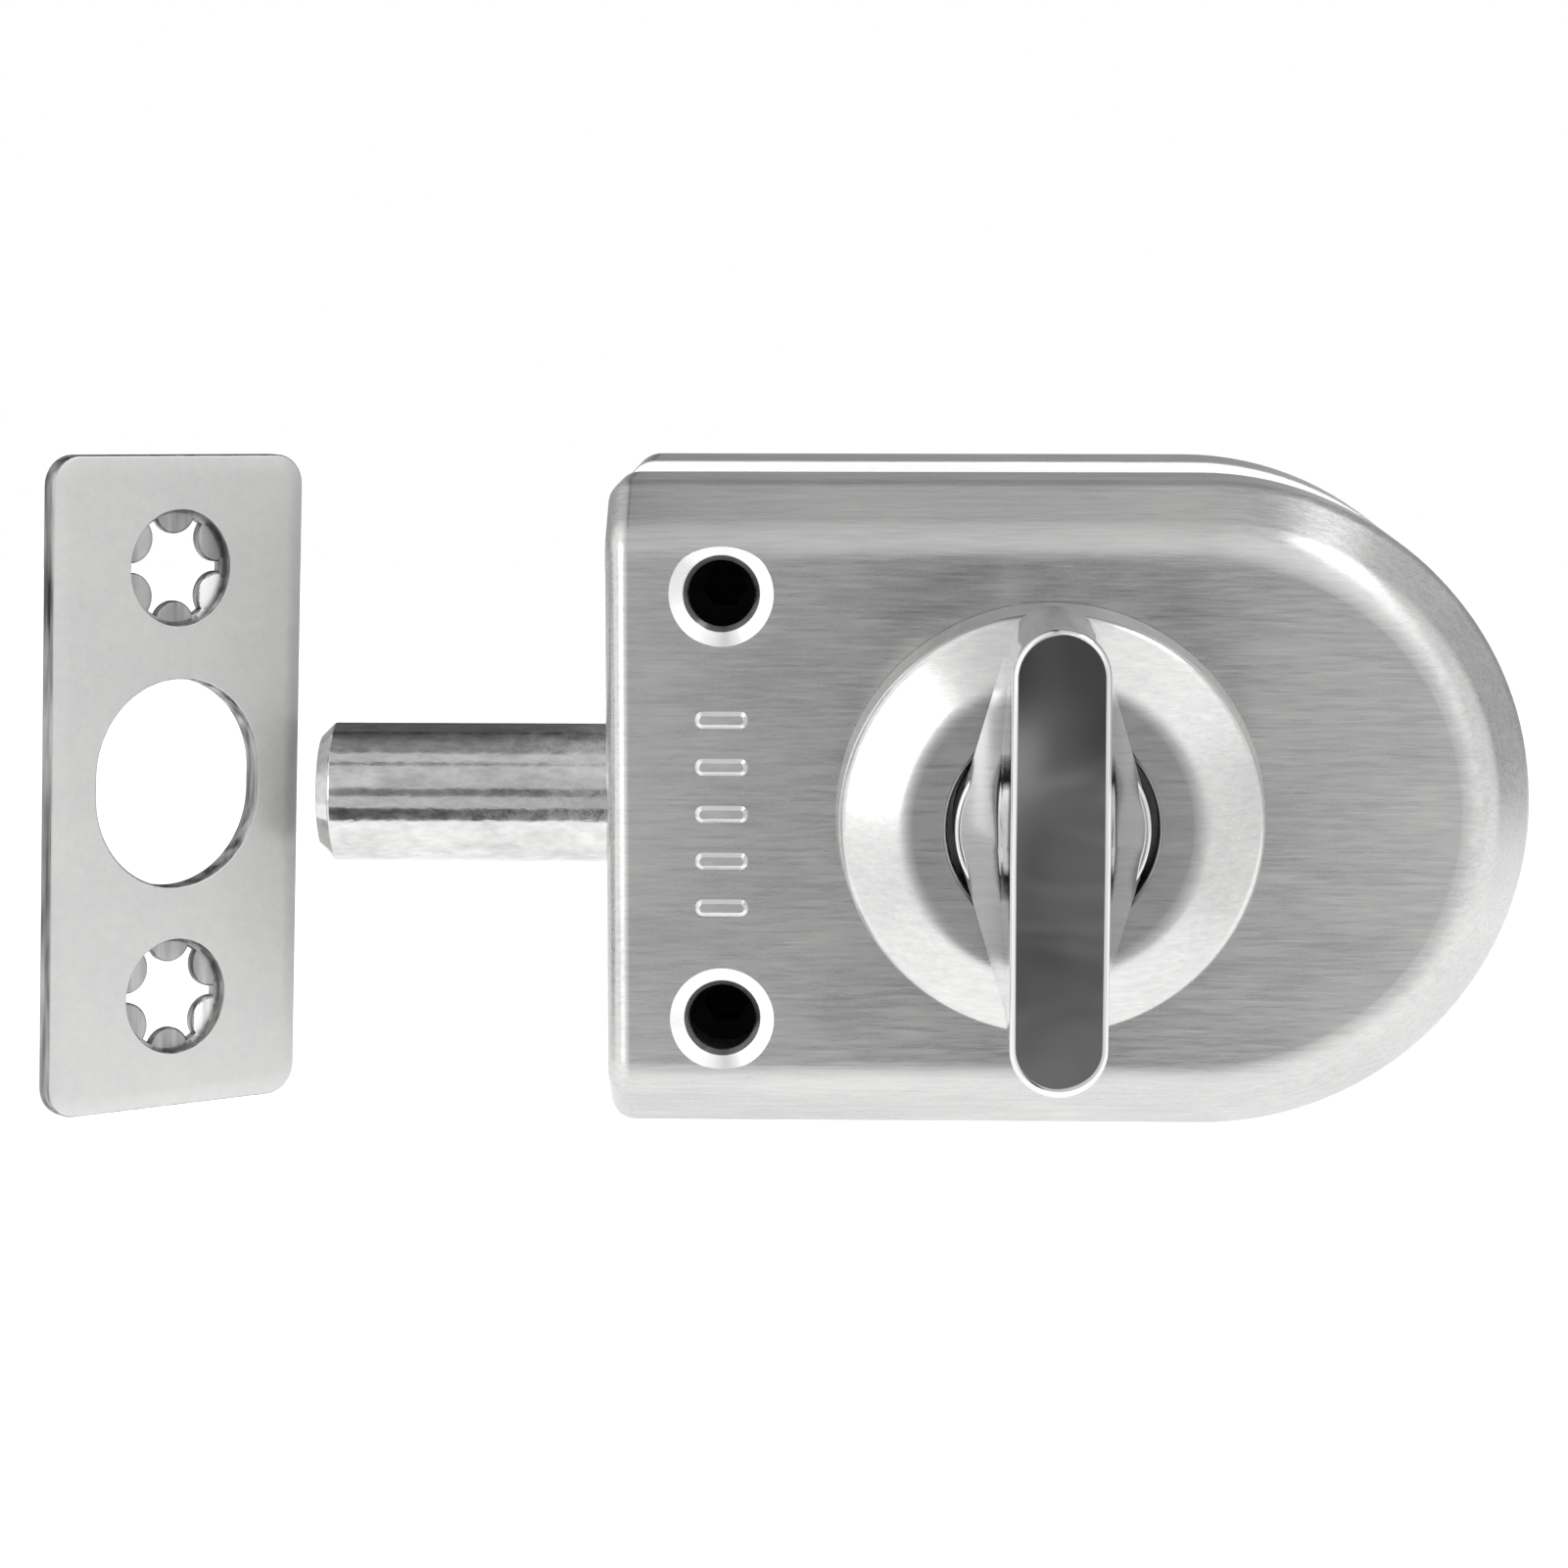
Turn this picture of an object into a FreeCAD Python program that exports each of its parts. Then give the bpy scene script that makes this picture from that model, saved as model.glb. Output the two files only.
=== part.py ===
import FreeCAD, Part
import math
import os

import Sketcher

# A bolt lock that clamps on the edge of a frameless glass door.
# The origin is on the knob's axis, at the face of the rear gasket that touches the glass.
# +X runs from the bolt end to the half-round end, +Y from the front to the back, +Z up.
# A depth below is a distance in front of the origin, so depth 27 is Y = -27.

SIZES = [
    # both cases
    ("body_height", 50.0),
    ("axis_setback", 33.8),
    ("arc_offset", 12.0),
    ("corner_radius", 2.3),
    ("sheet_wall", 1.2),
    ("bevel_width", 3.9),
    ("bevel_drop", 5.5),
    ("front_rounding", 4.0),
    ("shoulder_rounding", 2.6),
    ("end_rounding", 1.9),
    ("rear_depth", 11.0),
    ("rear_rounding", 1.5),
    # the jaw for the glass
    ("glass_gap", 10.0),
    ("case_gasket_thickness", 2.0),
    ("rear_gasket_thickness", 1.0),
    ("gasket_inset", 0.1),
    ("case_gasket_inset", 1.6),
    ("edge_gasket_thickness", 0.5),
    ("frame_thickness", 1.5),
    ("shell_gap", 0.15),
    ("plate_thickness", 1.2),
    ("plate_width", 11.2),
    ("plate_inset", 3.5),
    ("plate_gap", 0.1),
    ("side_gap", 0.3),
    # key holes, set screws and their nuts
    ("key_setback", 8.9),
    ("key_rise", 16.3),
    ("key_lift", 0.45),
    ("key_hole_radius", 2.6),
    ("dimple_radius", 4.1),
    ("dimple_depth", 0.7),
    ("set_screw_radius", 3.0),
    ("set_screw_length", 8.0),
    ("socket_radius", 1.73),
    ("socket_depth", 3.0),
    ("nut_radius", 5.2),
    ("nut_height", 4.0),
    # raised marks between the key holes
    ("mark_width", 4.0),
    ("mark_height", 1.3),
    ("mark_pitch", 3.6),
    ("mark_relief", 0.25),
    # rosette
    ("rosette_radius", 16.25),
    ("rosette_draft", 0.35),
    ("rosette_wall", 5.0),
    ("rosette_height", 7.0),
    ("rosette_flat_radius", 10.9),
    ("rosette_bore", 7.85),
    ("rosette_cavity", 12.5),
    ("rosette_floor", 1.5),
    ("rosette_cap", 1.6),
    ("rosette_rounding", 0.9),
    # thumbturn
    ("knob_height", 17.0),
    ("grip_length", 33.4),
    ("grip_width", 7.0),
    ("grip_foot", 14.4),
    ("grip_waist", 10.4),
    ("grip_neck", 8.2),
    ("skirt_radius", 7.3),
    ("skirt_sink", 2.0),
    ("skirt_rise", 0.5),
    ("grip_bulge", 0.05),
    ("knob_edge_width", 0.45),
    ("knob_edge_height", 0.5),
    # spindle, its bush and what holds it
    ("spindle_radius", 4.0),
    ("spindle_in_knob", 5.5),
    ("square_width", 5.6),
    ("spindle_tip", 0.35),
    ("run_gap", 0.05),
    ("snug_gap", 0.02),
    ("bush_radius", 5.9),
    ("bush_hole_gap", 0.1),
    ("bush_flange_radius", 7.5),
    ("bush_flange_thickness", 0.85),
    ("bush_nut_radius", 7.4),
    ("bush_nut_thickness", 2.5),
    ("washer_thickness", 0.5),
    ("washer_rim", 1.5),
    ("end_play", 0.15),
    ("clip_radius", 4.6),
    ("clip_thickness", 0.5),
    # crank
    ("crank_thickness", 2.0),
    ("hub_radius", 7.0),
    ("boss_radius", 3.4),
    ("crank_clearance", 1.8),
    ("pin_radius", 2.0),
    ("pin_slot_gap", 0.55),
    ("pin_overrun", 0.3),
    # bolt and the carriage that moves it
    ("bolt_radius", 5.4),
    ("bolt_reach", 22.4),
    ("bolt_lift", 0.6),
    ("bolt_chamfer", 1.05),
    ("bolt_rounding", 0.25),
    ("bolt_hole_gap", 0.25),
    ("bolt_front_gap", 0.3),
    ("bolt_rear_gap", 1.2),
    ("carriage_gap", 0.35),
    ("carriage_thickness", 3.0),
    ("carriage_half_width", 5.0),
    ("carriage_end_wall", 1.2),
    ("carriage_end_gap", 1.1),
    ("carriage_corner", 1.5),
    ("tower_half_width", 6.0),
    ("tower_roof", 2.2),
    ("rivet_radius", 1.25),
    ("rivet_pitch", 4.4),
    ("rivet_depth", 2.4),
    ("tail_margin", 1.2),
    ("step_margin", 0.4),
    ("post_radius", 2.0),
    ("post_slot_gap", 0.2),
    ("post_head_radius", 2.7),
    ("post_head_thickness", 0.7),
    # bolt guide
    ("guide_length", 4.0),
    ("guide_half_height", 8.5),
    ("guide_front_gap", 1.8),
    ("guide_screw_radius", 1.0),
    ("guide_screw_head", 1.6),
    ("guide_screw_length", 6.0),
    # screws and posts of the covers
    ("cover_screw_radius", 1.5),
    ("cover_screw_head", 2.7),
    ("cover_screw_length", 7.0),
    ("rear_screw_length", 4.5),
    ("screw_head_depth", 1.1),
    ("post_wall", 1.0),
    ("post_offset", 12.0),
    ("post_rise", 15.0),
    ("post_top_margin", 0.3),
    ("low_post_setback", 12.0),
    ("low_post_drop", 19.0),
    ("rear_post_setback", 24.0),
    # strike plate, and where it stands in the set
    ("strike_height", 50.0),
    ("strike_width", 22.3),
    ("strike_thickness", 1.5),
    ("strike_corner", 2.3),
    ("strike_rounding", 0.4),
    ("strike_slot_width", 14.4),
    ("strike_slot_height", 15.9),
    ("strike_screw_pitch", 32.9),
    ("strike_screw_radius", 4.4),
    ("strike_recess", 0.8),
    ("petal_radius", 1.85),
    ("star_gap", 0.4),
    ("strike_turn", 42.8),
    ("strike_lean", 2.2),
    ("strike_distance", 66.4),
    ("strike_depth", 26.3),
    ("strike_lift", 2.1),
]

PETALS = 6
FIRST_PETAL_DEGREES = 30.0
CRANK_REST_DEGREES = -45.0

doc = FreeCAD.newDocument("glass_door_lock")
sheet = doc.addObject("Spreadsheet::Sheet", "dims")
for row, (word, number) in enumerate(SIZES, start=1):
    sheet.set(f"A{row}", word)
    sheet.set(f"B{row}", str(number))
    sheet.setAlias(f"B{row}", word)
doc.recompute()

nodes = []


class Size:
    """A number together with the spreadsheet formula that gives it."""

    def __init__(self, value, formula):
        self.value = float(value)
        self.formula = formula

    def __add__(self, other):
        other = as_size(other)
        return Size(self.value + other.value, f"({self.formula} + {other.formula})")

    def __sub__(self, other):
        other = as_size(other)
        return Size(self.value - other.value, f"({self.formula} - {other.formula})")

    def __mul__(self, other):
        other = as_size(other)
        return Size(self.value * other.value, f"({self.formula} * {other.formula})")

    def __truediv__(self, other):
        other = as_size(other)
        return Size(self.value / other.value, f"({self.formula} / {other.formula})")

    def __neg__(self):
        return Size(-self.value, f"(0 - {self.formula})")

    def __radd__(self, other):
        return as_size(other) + self

    def __rsub__(self, other):
        return as_size(other) - self

    def __rmul__(self, other):
        return as_size(other) * self


def as_size(number):
    if isinstance(number, Size):
        return number
    return Size(number, f"{float(number):.6f}" if number >= 0 else f"(0 - {-float(number):.6f})")


def root(size):
    return Size(math.sqrt(size.value), f"sqrt({size.formula})")


def cell(word):
    return Size(sheet.get(word), f"dims.{word}")


def is_zero(size):
    return not isinstance(size, Size) and size == 0


def bind(thing, name, size):
    thing.setExpression(name, as_size(size).formula)


def place(thing, x, y, z):
    """Put a primitive's base point at x, y, z, with its own Z axis along +Y."""
    thing.Placement = FreeCAD.Placement(
        FreeCAD.Vector(as_size(x).value, as_size(y).value, as_size(z).value),
        FreeCAD.Rotation(FreeCAD.Vector(1, 0, 0), -90),
    )
    bind(thing, "Placement.Base.x", x)
    bind(thing, "Placement.Base.y", y)
    bind(thing, "Placement.Base.z", z)


def new_body(label):
    body = doc.addObject("PartDesign::Body", "body_" + label)
    body.Label = label
    nodes.append(body)
    return body


def new_sketch(body, name, role, offset):
    """A sketch on one of the body's own planes, moved along that plane's normal."""
    sketch = body.newObject("Sketcher::SketchObject", name)
    plane = [f for f in body.Origin.OriginFeatures if f.Role == role][0]
    sketch.AttachmentSupport = [(plane, "")]
    sketch.MapMode = "FlatFace"
    if not is_zero(offset):
        bind(sketch, "AttachmentOffset.Base.z", offset)
    return sketch


def front_sketch(body, name, depth):
    """A sketch seen from the front: its x is X, its y is Z, and it lies at that depth."""
    return new_sketch(body, name, "XZ_Plane", depth)


def pin_down(sketch, geometry, point, x, y):
    """Fix one point of a sketch at x and y."""
    for axis, size, line in (("DistanceX", x, -2), ("DistanceY", y, -1)):
        if is_zero(size):
            sketch.addConstraint(Sketcher.Constraint("PointOnObject", geometry, point, line))
        else:
            size = as_size(size)
            index = sketch.addConstraint(Sketcher.Constraint(axis, geometry, point, size.value))
            sketch.setExpression(f"Constraints[{index}]", size.formula)


def draw_circle(sketch, x, y, radius):
    centre = FreeCAD.Vector(as_size(x).value, as_size(y).value, 0)
    radius = as_size(radius)
    circle = sketch.addGeometry(Part.Circle(centre, FreeCAD.Vector(0, 0, 1), radius.value), False)
    index = sketch.addConstraint(Sketcher.Constraint("Radius", circle, radius.value))
    sketch.setExpression(f"Constraints[{index}]", radius.formula)
    pin_down(sketch, circle, 3, x, y)


def draw_outline(sketch, corners):
    """Draw a closed outline, anticlockwise.

    Each corner is (x, y), or (x, y, centre_x, centre_y) where an arc leaves it.
    """
    count = len(corners)
    edges = []
    for i, corner in enumerate(corners):
        following = corners[(i + 1) % count]
        start = FreeCAD.Vector(as_size(corner[0]).value, as_size(corner[1]).value, 0)
        end = FreeCAD.Vector(as_size(following[0]).value, as_size(following[1]).value, 0)
        if len(corner) == 2:
            edges.append(sketch.addGeometry(Part.LineSegment(start, end), False))
            continue
        centre = FreeCAD.Vector(as_size(corner[2]).value, as_size(corner[3]).value, 0)
        first = math.atan2(start.y - centre.y, start.x - centre.x)
        last = math.atan2(end.y - centre.y, end.x - centre.x)
        if last <= first:
            last += 2 * math.pi
        circle = Part.Circle(centre, FreeCAD.Vector(0, 0, 1), (start - centre).Length)
        edges.append(sketch.addGeometry(Part.ArcOfCircle(circle, first, last), False))
    for i, corner in enumerate(corners):
        sketch.addConstraint(Sketcher.Constraint("Coincident", edges[i - 1], 2, edges[i], 1))
        pin_down(sketch, edges[i], 1, corner[0], corner[1])
    for i, corner in enumerate(corners):
        if len(corner) == 2:
            continue
        following = corners[(i + 1) % count]
        across = abs(as_size(following[0]).value - as_size(corner[0]).value)
        up = abs(as_size(following[1]).value - as_size(corner[1]).value)
        axis, size, line = ("DistanceX", corner[2], -2) if up >= across else ("DistanceY", corner[3], -1)
        if is_zero(size):
            sketch.addConstraint(Sketcher.Constraint("PointOnObject", edges[i], 3, line))
        else:
            size = as_size(size)
            index = sketch.addConstraint(Sketcher.Constraint(axis, edges[i], 3, size.value))
            sketch.setExpression(f"Constraints[{index}]", size.formula)


def draw_case_outline(sketch, left, half, corner):
    """The outline of the lock: straight at the bolt end, half-round at the other."""
    draw_outline(
        sketch,
        [
            (left + corner, -half),
            (arc_x, -half, arc_x, 0),
            (arc_x, half),
            (left + corner, half, left + corner, half - corner),
            (left, half - corner),
            (left, corner - half, left + corner, corner - half),
        ],
    )


def draw_right_part(sketch, left, half):
    """The case outline with its end at `left` cut off straight, so with sharp corners there."""
    draw_outline(sketch, [(left, -half), (arc_x, -half, arc_x, 0), (arc_x, half), (left, half)])


def draw_box(sketch, left, right, low, high):
    draw_outline(sketch, [(left, low), (right, low), (right, high), (left, high)])


def draw_round_box(sketch, half_width, half_height, corner):
    inner_x = half_width - corner
    inner_y = half_height - corner
    draw_outline(
        sketch,
        [
            (inner_x, -half_height, inner_x, -inner_y),
            (half_width, -inner_y),
            (half_width, inner_y, inner_x, inner_y),
            (inner_x, half_height),
            (-inner_x, half_height, -inner_x, inner_y),
            (-half_width, inner_y),
            (-half_width, -inner_y, -inner_x, -inner_y),
            (-inner_x, -half_height),
        ],
    )


def draw_slot_along_x(sketch, left, right, half_width):
    """A slot with round ends between two X places, on the bolt's height."""
    draw_outline(
        sketch,
        [
            (left + half_width, -half_width),
            (right - half_width, -half_width, right - half_width, 0),
            (right - half_width, half_width),
            (left + half_width, half_width, left + half_width, 0),
        ],
    )


def draw_upright_slot(sketch, x, low, high, half_width):
    draw_outline(
        sketch,
        [
            (x + half_width, low + half_width),
            (x + half_width, high - half_width, x, high - half_width),
            (x - half_width, high - half_width),
            (x - half_width, low + half_width, x, low + half_width),
        ],
    )


def pad(body, name, sketch, length):
    """Grow a sketch forwards, that is along its own normal."""
    feature = body.newObject("PartDesign::Pad", name)
    feature.Profile = sketch
    bind(feature, "Length", length)
    return feature


def pocket(body, name, sketch, length, forwards=False):
    """Cut backwards from a front sketch, or forwards where asked."""
    feature = body.newObject("PartDesign::Pocket", name)
    feature.Profile = sketch
    feature.Reversed = forwards
    bind(feature, "Length", length)
    return feature


def loft(body, name, kind, sketches, ruled):
    feature = body.newObject("PartDesign::" + kind, name)
    feature.Profile = sketches[0]
    feature.Sections = sketches[1:]
    feature.Ruled = ruled
    return feature


def turned(body, name, profile):
    """Turn a profile of (radius, y) corners about the Y axis."""
    sketch = new_sketch(body, name + "_profile", "XY_Plane", 0)
    draw_outline(sketch, profile)
    feature = body.newObject("PartDesign::Revolution", name)
    feature.Profile = sketch
    feature.ReferenceAxis = (sketch, ["V_Axis"])
    feature.Angle = 360.0
    return feature


def edge_names(feature, wanted):
    return [f"Edge{i + 1}" for i, edge in enumerate(feature.Shape.Edges) if wanted(edge)]


def lies_at(edge, axis, value):
    """Whether the whole edge lies in one plane across that axis."""
    box = edge.BoundBox
    low, high = {"x": (box.XMin, box.XMax), "y": (box.YMin, box.YMax), "z": (box.ZMin, box.ZMax)}[axis]
    return abs(low - value) < 1e-4 and abs(high - value) < 1e-4


def soften(body, name, kind, feature, wanted, size):
    """A fillet or chamfer on the edges that `wanted` picks."""
    doc.recompute()
    names = edge_names(feature, wanted)
    if not names:
        raise RuntimeError(f"{body.Label}: no edge for {name}")
    softened = body.newObject("PartDesign::" + kind, name)
    softened.Base = (feature, names)
    bind(softened, "Radius" if kind == "Fillet" else "Size", size)
    return softened


def cylinder(name, radius, length, x, y, z):
    """A round bar that runs backwards from x, y, z."""
    item = doc.addObject("Part::Cylinder", name)
    bind(item, "Radius", radius)
    bind(item, "Height", length)
    place(item, x, y, z)
    return item


def cone(name, front_radius, back_radius, length, x, y, z):
    item = doc.addObject("Part::Cone", name)
    bind(item, "Radius1", front_radius)
    bind(item, "Radius2", back_radius)
    bind(item, "Height", length)
    place(item, x, y, z)
    return item


def hexagon(name, radius, length, x, y, z):
    item = doc.addObject("Part::Prism", name)
    item.Polygon = 6
    bind(item, "Circumradius", radius)
    bind(item, "Height", length)
    place(item, x, y, z)
    return item


def cut(name, base, tool):
    item = doc.addObject("Part::Cut", name)
    item.Base = base
    item.Tool = tool
    return item


def fuse(name, pieces):
    item = doc.addObject("Part::MultiFuse", name)
    item.Shapes = pieces
    return item


def group(label, pieces):
    """Like pieces that share one node, as separate solids."""
    item = doc.addObject("Part::Compound", "group_" + label)
    item.Links = pieces
    item.Label = label
    nodes.append(item)
    return item


# Places that follow from the sizes

half_height = cell("body_height") / 2
left_x = -cell("axis_setback")
arc_x = cell("arc_offset")
wall = cell("sheet_wall")

rim = cell("glass_gap") + cell("case_gasket_thickness")
frame_front = rim + cell("frame_thickness")
bolt_axis = frame_front + cell("bolt_rear_gap") + cell("bolt_radius")
face_inside = bolt_axis + cell("bolt_radius") + cell("bolt_front_gap")
face = face_inside + wall
shoulder = face - cell("bevel_drop")

slope = cell("bevel_width") / cell("bevel_drop")
slant_wall = wall * root(1 + slope * slope)
inner_half = half_height - wall
inner_shoulder = shoulder - (slant_wall - wall) / slope
inner_face_half = half_height - slant_wall - (face_inside - shoulder) * slope
inner_corner = cell("corner_radius") - wall

rosette_top = face + cell("rosette_height")
knob_foot = rosette_top - cell("skirt_sink")
knob_top = rosette_top + cell("knob_height")
bush_top = knob_foot - cell("end_play") - cell("washer_thickness") - cell("run_gap")
bush_back = face_inside - cell("bush_flange_thickness")
crank_front = bush_back - cell("end_play")
crank_back = crank_front - cell("crank_thickness")
clip_front = crank_back - cell("snug_gap")
clip_back = clip_front - cell("clip_thickness")
spindle_back = clip_back - cell("spindle_tip")
carriage_front = spindle_back - cell("carriage_gap")
carriage_back = carriage_front - cell("carriage_thickness")

crank_limit = half_height - slant_wall - (crank_front - shoulder) * slope
crank_radius = crank_limit - cell("boss_radius") - cell("crank_clearance")
travel = crank_radius * math.sqrt(2)
pin_x = -travel / 2
pin_z = travel / 2

case_end_inside = arc_x + inner_half
carriage_right = case_end_inside - cell("carriage_end_gap") - travel
post_slot_half = cell("post_radius") + cell("post_slot_gap")
post_slot_right = carriage_right - cell("carriage_end_wall")
post_x = post_slot_right - post_slot_half
post_slot_left = post_x - travel - post_slot_half

frame_left = left_x + wall + cell("shell_gap")
web_right = frame_left + cell("frame_thickness")
guide_left = web_right - cell("side_gap")
guide_right = guide_left + cell("guide_length")
tail_left = guide_right + cell("snug_gap") * 10
tail_right = post_slot_left - cell("tail_margin")
rivet_x = (tail_left + tail_right) / 2

key_x = left_x + cell("key_setback")
key_heights = [cell("key_lift") + cell("key_rise"), cell("key_lift") - cell("key_rise")]
plate_left = web_right + cell("edge_gasket_thickness") + cell("side_gap")
plate_right = plate_left + cell("plate_width")
plate_half = half_height - cell("plate_inset")
plate_front = rim - cell("plate_gap")
pad_front = plate_front - cell("plate_thickness")

front_posts = [
    (arc_x + cell("post_offset"), cell("post_rise")),
    (arc_x + cell("post_offset"), -cell("post_rise")),
    (-cell("low_post_setback"), -cell("low_post_drop")),
]
rear_posts = [
    (arc_x + cell("post_offset"), cell("post_rise")),
    (arc_x + cell("post_offset"), -cell("post_rise")),
    (-cell("rear_post_setback"), cell("post_rise")),
    (-cell("rear_post_setback"), -cell("post_rise")),
]
post_outer = cell("cover_screw_radius") + cell("post_wall")
screw_hole = cell("cover_screw_radius") + cell("run_gap")


def post_top(reach):
    """How far forward a post may go before it would come out of the bevel."""
    return shoulder + (half_height - reach - post_outer) / slope - cell("post_top_margin")


arc_post_reach = root(cell("post_offset") * cell("post_offset") + cell("post_rise") * cell("post_rise"))
arc_post_top = post_top(arc_post_reach)
low_post_top = post_top(cell("low_post_drop"))


# Front cover: pressed shell with a broad bevel on all sides but the bolt end

def make_front_cover():
    body = new_body("front_cover")
    flat_half = half_height - cell("bevel_width")
    base = front_sketch(body, "cover_rim", rim)
    draw_right_part(base, left_x, half_height)
    pad(body, "cover_side", base, shoulder - rim)
    low = front_sketch(body, "cover_shoulder", shoulder)
    draw_right_part(low, left_x, half_height)
    high = front_sketch(body, "cover_face", face)
    draw_right_part(high, left_x, flat_half)
    bevel = loft(body, "cover_bevel", "AdditiveLoft", [low, high], True)
    soft_face = soften(
        body, "cover_face_edge", "Fillet", bevel,
        lambda edge: lies_at(edge, "y", -face.value) and edge.BoundBox.XMax > arc_x.value - 1,
        cell("front_rounding"),
    )
    soft_shoulder = soften(
        body, "cover_shoulder_edge", "Fillet", soft_face,
        lambda edge: lies_at(edge, "y", -shoulder.value) and edge.BoundBox.XMax > arc_x.value - 1,
        cell("shoulder_rounding"),
    )
    soften(
        body, "cover_end_edge", "Fillet", soft_shoulder,
        lambda edge: lies_at(edge, "x", left_x.value) and not lies_at(edge, "y", -rim.value),
        cell("end_rounding"),
    )
    inside = front_sketch(body, "hollow_rim", rim)
    draw_case_outline(inside, left_x + wall, inner_half, inner_corner)
    pocket(body, "hollow_side", inside, inner_shoulder - rim, forwards=True)
    inner_low = front_sketch(body, "hollow_shoulder", inner_shoulder)
    draw_case_outline(inner_low, left_x + wall, inner_half, inner_corner)
    inner_high = front_sketch(body, "hollow_face", face_inside)
    draw_case_outline(inner_high, left_x + wall, inner_face_half, inner_corner)
    loft(body, "hollow_bevel", "SubtractiveLoft", [inner_low, inner_high], True)
    holes = front_sketch(body, "face_holes", face)
    draw_circle(holes, 0, 0, cell("bush_radius") + cell("bush_hole_gap"))
    for z in key_heights:
        draw_circle(holes, key_x, z, cell("key_hole_radius"))
    pocket(body, "face_hole_cuts", holes, wall + 1)
    for name, z in zip(("upper", "lower"), key_heights):
        dimple = body.newObject("PartDesign::SubtractiveCone", "dimple_" + name)
        bind(dimple, "Radius1", cell("dimple_radius"))
        bind(dimple, "Radius2", cell("key_hole_radius"))
        bind(dimple, "Height", cell("dimple_depth"))
        place(dimple, key_x, -face, z)
    side = new_sketch(body, "bolt_hole", "YZ_Plane", left_x - 1)
    draw_circle(side, -bolt_axis, cell("bolt_lift"), cell("bolt_radius") + cell("bolt_hole_gap"))
    pocket(body, "bolt_hole_cut", side, wall + 2, forwards=True)
    posts = front_sketch(body, "arc_posts", frame_front)
    for x, z in front_posts[:2]:
        draw_circle(posts, x, z, post_outer)
    pad(body, "arc_post_bars", posts, arc_post_top - frame_front)
    low_post = front_sketch(body, "low_post", frame_front)
    draw_circle(low_post, front_posts[2][0], front_posts[2][1], post_outer)
    pad(body, "low_post_bar", low_post, low_post_top - frame_front)
    post_holes = front_sketch(body, "post_holes", frame_front)
    for x, z in front_posts:
        draw_circle(post_holes, x, z, screw_hole)
    pocket(body, "post_hole_cuts", post_holes, cell("cover_screw_length"), forwards=True)
    marks = front_sketch(body, "marks", face - 0.2)
    end_radius = cell("mark_height") / 2
    bar_left = key_x - cell("mark_width") / 2 + end_radius
    bar_right = key_x + cell("mark_width") / 2 - end_radius
    for step in (-2, -1, 0, 1, 2):
        z = cell("mark_pitch") * step
        draw_outline(
            marks,
            [
                (bar_left, z - end_radius),
                (bar_right, z - end_radius, bar_right, z),
                (bar_right, z + end_radius),
                (bar_left, z + end_radius, bar_left, z),
            ],
        )
    pad(body, "mark_bars", marks, cell("mark_relief") + 0.2)


# Rosette: round collar under the thumbturn, with a flat middle and a sloping ring

def make_rosette():
    body = new_body("rosette")
    wall_top = face + cell("rosette_wall")
    cap_under = rosette_top - cell("rosette_cap")
    floor_top = face + cell("rosette_floor")
    neck_hole = cell("bush_radius") + cell("bush_hole_gap")
    rim_radius = cell("rosette_radius") - cell("rosette_draft")
    collar = turned(
        body,
        "collar",
        [
            (neck_hole, -floor_top),
            (cell("rosette_cavity"), -floor_top),
            (cell("rosette_cavity"), -(wall_top - cell("rosette_cap"))),
            (cell("rosette_bore"), -cap_under),
            (cell("rosette_bore"), -rosette_top),
            (cell("rosette_flat_radius"), -rosette_top),
            (rim_radius, -wall_top),
            (cell("rosette_radius"), -face),
            (neck_hole, -face),
        ],
    )
    soften(
        body, "collar_edge", "Fillet", collar,
        lambda edge: lies_at(edge, "y", -wall_top.value), cell("rosette_rounding"),
    )


# Thumbturn: a long grip whose foot swells into a round skirt

def draw_grip(sketch, end_radius, middle_radius):
    """A round at each end and a wider one in the middle, with straight flanks that touch them all."""
    end = (cell("grip_length") - cell("grip_width")) / 2
    lean = (middle_radius - end_radius) / end
    across = root(1 - lean * lean)
    end_x = end_radius * across
    end_z = end + end_radius * lean
    middle_x = middle_radius * across
    middle_z = middle_radius * lean
    draw_outline(
        sketch,
        [
            (end_x, -end_z),
            (middle_x, -middle_z, 0, 0),
            (middle_x, middle_z),
            (end_x, end_z, 0, end),
            (-end_x, end_z),
            (-middle_x, middle_z, 0, 0),
            (-middle_x, -middle_z),
            (-end_x, -end_z, 0, -end),
        ],
    )


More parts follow.
